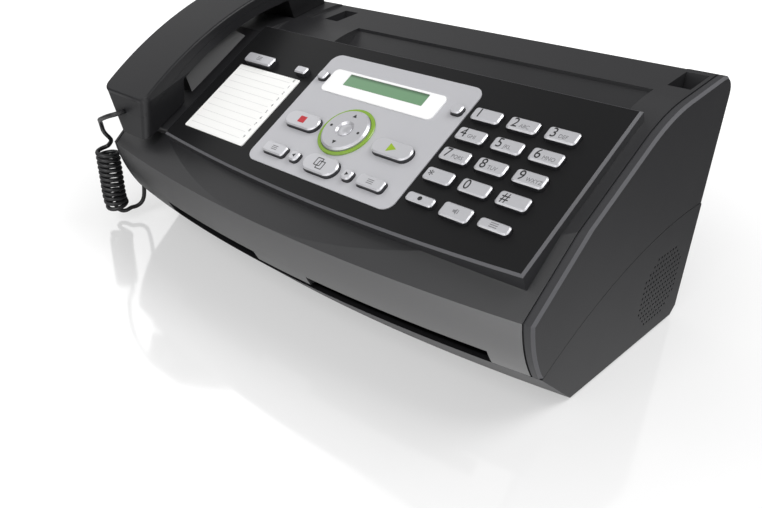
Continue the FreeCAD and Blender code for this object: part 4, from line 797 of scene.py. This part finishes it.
class FAX_OT_keys(bpy.types.Operator):
    """Finishes the keys and prints their figures and symbols."""

    bl_idname = "fax.keys"
    bl_label = "Keys"

    def mark(self, node, parts, material):
        """Makes one printed piece on a key."""
        points, faces = join(parts)
        body = NODES[node]["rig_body"]
        new_piece("mark_" + node + "_" + material.name, on_panel(points), faces, material, body)

    def middle(self, node):
        """Middle of a key's top, and the heights between which its ink lies."""
        s = sizes()
        left, right, front, rear, top = key_top(node)
        low = top + s.mark_lift
        return (left + right) / 2, (front + rear) / 2, low, low + s.mark_thickness

    def execute(self, context):
        c = colours()
        s = sizes()
        keys = [name for name in NODES if name.startswith("key_") and name != "key_board"]
        # Silver lacquer, sprayed on moulded caps: bright satin with a fine flake, and sides painted dark as
        # the shade round each key.
        sides = (upright(), c.key, c.key_side)
        dress(grained("key_lacquer_painted_shade", c.key, 0.30, 0.22, 0.08, metallic=0.45, spread=0.05, painted_light_by_facing=sides), *keys)
        # The same lacquer all over the navigation disc, in a slightly darker silver.
        dress(grained("disc_lacquer", c.disc, 0.30, 0.22, 0.08, metallic=0.45, spread=0.05), "nav_disc")
        # Pad-printing ink, laid on thin: dark and matte figures.
        dark = grained("dark_ink", c.ink, 0.6, 0.3, 0.02, spread=0.05)
        # The same ink in grey: small letters, fainter than the figures.
        pale = grained("grey_ink", c.pale_ink, 0.6, 0.3, 0.02, spread=0.05)
        # The same ink in red: the stop mark.
        red = grained("red_ink", c.stop_ink, 0.6, 0.3, 0.02, spread=0.05)
        # The same ink in yellow-green: the start mark.
        green = grained("green_ink", c.start_ink, 0.6, 0.3, 0.02, spread=0.05)
        for name in ("1", "2", "3", "4", "5", "6", "7", "8", "9", "0", "star", "hash"):
            left, _, front, rear, top = key_top("key_" + name)
            h0 = top + s.mark_lift
            h1 = h0 + s.mark_thickness
            middle = (front + rear) / 2
            sign = {"star": "*", "hash": "#"}.get(name, name)
            low = middle - STAR_DROP if name == "star" else middle
            figure = text_mesh(sign, s.digit_height, left + FIGURE_INSET, low, h0, h1)
            self.mark("key_" + name, [figure], dark)
            if name in LETTERS:
                spot = (left + LETTER_INSET, middle - LETTER_DROP)
                word = text_mesh(LETTERS[name], s.letter_height, *spot, h0, h1)
                self.mark("key_" + name, [word], pale)
        self.print_symbols(dark, pale, red, green)
        return {"FINISHED"}

    def print_symbols(self, dark, pale, red, green):
        """Plain symbols on the other keys."""
        u, v, h0, h1 = self.middle("key_stop")
        self.mark("key_stop", [plate_mesh(box_outline(u, v, *STOP_HALF), h0, h1)], red)
        u, v, h0, h1 = self.middle("key_start")
        self.mark("key_start", [plate_mesh(shifted(START_MARK, u, v), h0, h1)], green)
        u, v, h0, h1 = self.middle("key_copy")
        sheets = []
        for du, dv in SHEET_PLACES:
            corners = box_outline(u + du, v + dv, *SHEET_HALF)
            for a, b in zip(corners, corners[1:] + corners[:1]):
                sheets.append(plate_mesh(bar_outline(*a, *b, SHEET_LINE), h0, h1))
        self.mark("key_copy", sheets, dark)
        u, v, h0, h1 = self.middle("key_redial")
        self.mark("key_redial", [plate_mesh(ring_outline(u, v, DOT_RADIUS), h0, h1)], dark)
        u, v, h0, h1 = self.middle("key_speaker")
        off, half, width = SOUND_STROKE
        horn = plate_mesh(shifted(HORN_MARK, u, v), h0, h1)
        stroke = plate_mesh(bar_outline(u + off, v - half, u + off, v + half, width), h0, h1)
        self.mark("key_speaker", [horn, stroke], pale)
        for node in ("key_recall", "key_quality", "key_message", "key_book"):
            u, v, h0, h1 = self.middle(node)
            rows = [bar_outline(u - ROW_HALF, v + dv, u + ROW_HALF, v + dv, ROW_LINE) for dv in ROW_RISES]
            self.mark(node, [plate_mesh(row, h0, h1) for row in rows], pale)
        for node, way in (("key_back", -1), ("key_forward", 1)):
            u, v, h0, h1 = self.middle(node)
            self.mark(node, [plate_mesh(shifted(STEP_MARK, u, v, way), h0, h1)], dark)
        u, v, h0, h1 = self.middle("nav_disc")
        outlines = [shifted(NAV_ARROW, u, v + NAV_REACH * way, way) for way in (1, -1)]
        outlines += [ring_outline(u + NAV_REACH * way, v, NAV_DOT) for way in (-1, 1)]
        self.mark("nav_disc", [plate_mesh(outline, h0, h1) for outline in outlines], dark)
        points, faces = dome_mesh(u, v, h0 - KNOB_FOOT, KNOB_RADIUS, KNOB_RISE)
        silver = NODES["nav_disc"].data.materials[0]
        knob = new_piece("nav_knob", on_panel(points), faces, silver, "nav")
        knob.data.shade_smooth()


# Half the floor's width in metres, and the optical density that makes its mirror image strong
FLOOR_HALF = 6.0
FLOOR_IOR = 3.6
# Glow of the floor as it is seen: distances from the machine in metres, and the glow at each
SEEN_AWAY = (0.2, 0.75)
SEEN_GLOW = (0.42, 1.0)
# Glow of the floor seen only in the sheen of what stands on it, a painted reflection of light: it grows to
# the right and fades to the rear, in metres
PAINTED_REFLECTION_GLOW = 1.5
PAINTED_REFLECTION_RIGHT = (-0.2, 0.15)
PAINTED_REFLECTION_REAR = (-0.12, 0.25)
# Brightness of the studio's walls by the height of the way to them, from level to straight up
WALL_FOOT = 0.1
WALL_LEVELS = ((0.28, 0.12), (0.42, 0.95), (0.62, 0.95), (0.85, 0.12), (0.99, 0.10))
# The wall behind the machine hangs in shade: how far the way to it points back, and the share of light left
REAR_WALL = (0.3, 0.8)
REAR_SHARE = 0.2
# Soft lamps: name, place and target in metres, width and height in metres, power in watts
LAMPS = (
    ("rear_soft", (0.75, 0.45, 1.4), (0, 0, 0.1), 1.0, 0.9, 15),
    ("fill_soft", (0.15, -1.3, 1.1), (0, 0, 0.1), 0.9, 0.9, 10),
    ("front_soft", (-0.1, -1.6, 0.3), (0, -0.05, 0.08), 1.5, 0.5, 3),
)


class FAX_OT_stage(bpy.types.Operator):
    """Sets the pale floor, the soft lights and the white background."""

    bl_idname = "fax.stage"
    bl_label = "Stage"

    def lay_floor(self, scene):
        """A wide sheet that mirrors what stands on it, glows white further off and glows in the machine's
        sheen as a painted reflection.
        """
        mesh = bpy.data.meshes.new("floor")
        corners = [(x, y, 0) for x, y in box_outline(0, 0, FLOOR_HALF, FLOOR_HALF)]
        mesh.from_pydata(corners, [], [(0, 1, 2, 3)])
        floor = bpy.data.objects.new("floor", mesh)
        scene.collection.objects.link(floor)
        # Polished white acrylic sheet: white, with a soft mirror image of what stands on it, and a glow seen
        # only in reflections, painted light for the machine's sheen.
        acrylic = grained("white_acrylic", colours().floor, 0.10, 20.0, 0.0, spread=0.0)
        tree = acrylic.node_tree
        path = add_node(tree, "ShaderNodeLightPath")
        place = add_node(tree, "ShaderNodeTexCoord").outputs["Object"]
        away = add_node(tree, "ShaderNodeVectorMath", {0: place}, operation="LENGTH").outputs["Value"]
        level = ramp(tree, away, *SEEN_AWAY, *SEEN_GLOW)
        seen = maths(tree, "MULTIPLY", path.outputs["Is Camera Ray"], level)
        # Painted reflection: the floor glows for glossy rays only, brightest to the right front, to light the
        # machine's sheen.
        axes = add_node(tree, "ShaderNodeSeparateXYZ", {"Vector": place})
        right = ramp(tree, axes.outputs["X"], *PAINTED_REFLECTION_RIGHT, 0.0, PAINTED_REFLECTION_GLOW)
        front = ramp(tree, axes.outputs["Y"], *PAINTED_REFLECTION_REAR, 1.0, 0.0)
        painted_reflection = maths(tree, "MULTIPLY", right, front)
        glow = maths(tree, "MULTIPLY_ADD", path.outputs["Is Glossy Ray"], painted_reflection, seen)
        shader = tree.nodes["Principled BSDF"]
        shader.inputs["IOR"].default_value = FLOOR_IOR
        shader.inputs["Emission Color"].default_value = (1, 1, 1, 1)
        tree.links.new(glow, shader.inputs["Emission Strength"])
        mesh.materials.append(acrylic)

    def paint_room(self, scene):
        """Walls that light the machine by their height, and a plain white behind it for the camera."""
        world = bpy.data.worlds.new("world")
        scene.world = world
        world.use_nodes = True
        tree = world.node_tree
        tree.nodes.clear()
        path = add_node(tree, "ShaderNodeLightPath")
        way = add_node(tree, "ShaderNodeTexCoord").outputs["Generated"]
        axes = add_node(tree, "ShaderNodeSeparateXYZ", {"Vector": way})
        fade = add_node(tree, "ShaderNodeValToRGB", {"Fac": axes.outputs["Z"]})
        for height, level in WALL_LEVELS:
            stop = fade.color_ramp.elements.new(height)
            stop.color = (level, level, level, 1)
        fade.color_ramp.elements[0].color = (WALL_FOOT, WALL_FOOT, WALL_FOOT, 1)
        share = ramp(tree, axes.outputs["Y"], *REAR_WALL, 1.0, REAR_SHARE)
        room = add_node(tree, "ShaderNodeBackground", {"Color": fade.outputs["Color"], "Strength": share})
        white = add_node(tree, "ShaderNodeBackground", Color=(1, 1, 1, 1), Strength=1.0)
        sources = {0: path.outputs["Is Camera Ray"], 1: room.outputs[0], 2: white.outputs[0]}
        mixed = add_node(tree, "ShaderNodeMixShader", sources)
        add_node(tree, "ShaderNodeOutputWorld", {"Surface": mixed.outputs[0]})

    def lamp(self, scene, name, place, target, width, height, power):
        """A rectangular soft lamp that looks at a target."""
        data = bpy.data.lights.new(name, "AREA")
        data.shape = "RECTANGLE"
        data.size = width
        data.size_y = height
        data.energy = power
        lamp = bpy.data.objects.new(name, data)
        lamp.location = place
        lamp.rotation_euler = (Vector(target) - Vector(place)).to_track_quat("-Z", "Y").to_euler()
        scene.collection.objects.link(lamp)

    def execute(self, context):
        scene = context.scene
        self.lay_floor(scene)
        self.paint_room(scene)
        for lamp in LAMPS:
            self.lamp(scene, *lamp)
        scene.view_settings.view_transform = "Standard"
        scene.view_settings.look = "None"
        scene.render.film_transparent = False
        return {"FINISHED"}


class FAX_PT_panel(bpy.types.Panel):
    """Buttons that make each group of pieces."""

    bl_idname = "FAX_PT_panel"
    bl_label = "Fax machine"
    bl_space_type = "VIEW_3D"
    bl_region_type = "UI"
    bl_category = "Fax"

    def draw(self, context):
        for step in STEPS:
            self.layout.operator(step.bl_idname)


STEPS = (
    FAX_OT_camera,
    FAX_OT_cord,
    FAX_OT_casing,
    FAX_OT_works,
    FAX_OT_display,
    FAX_OT_card,
    FAX_OT_keys,
    FAX_OT_stage,
)
CLASSES = (FaxSizes, FaxColours, *STEPS, FAX_PT_panel)


def register():
    """Makes the tools, sizes and colours known to Blender."""
    for cls in CLASSES:
        bpy.utils.register_class(cls)
    bpy.types.Scene.fax_sizes = bpy.props.PointerProperty(type=FaxSizes)
    bpy.types.Scene.fax_colours = bpy.props.PointerProperty(type=FaxColours)


def unregister():
    """Takes the tools, sizes and colours away again."""
    del bpy.types.Scene.fax_colours
    del bpy.types.Scene.fax_sizes
    for cls in reversed(CLASSES):
        bpy.utils.unregister_class(cls)


def main():
    """Makes every group of pieces in order."""
    register()
    bpy.ops.fax.camera()
    bpy.ops.fax.cord()
    bpy.ops.fax.casing()
    bpy.ops.fax.works()
    bpy.ops.fax.display()
    bpy.ops.fax.card()
    bpy.ops.fax.keys()
    bpy.ops.fax.stage()


if __name__ == "__main__":
    main()
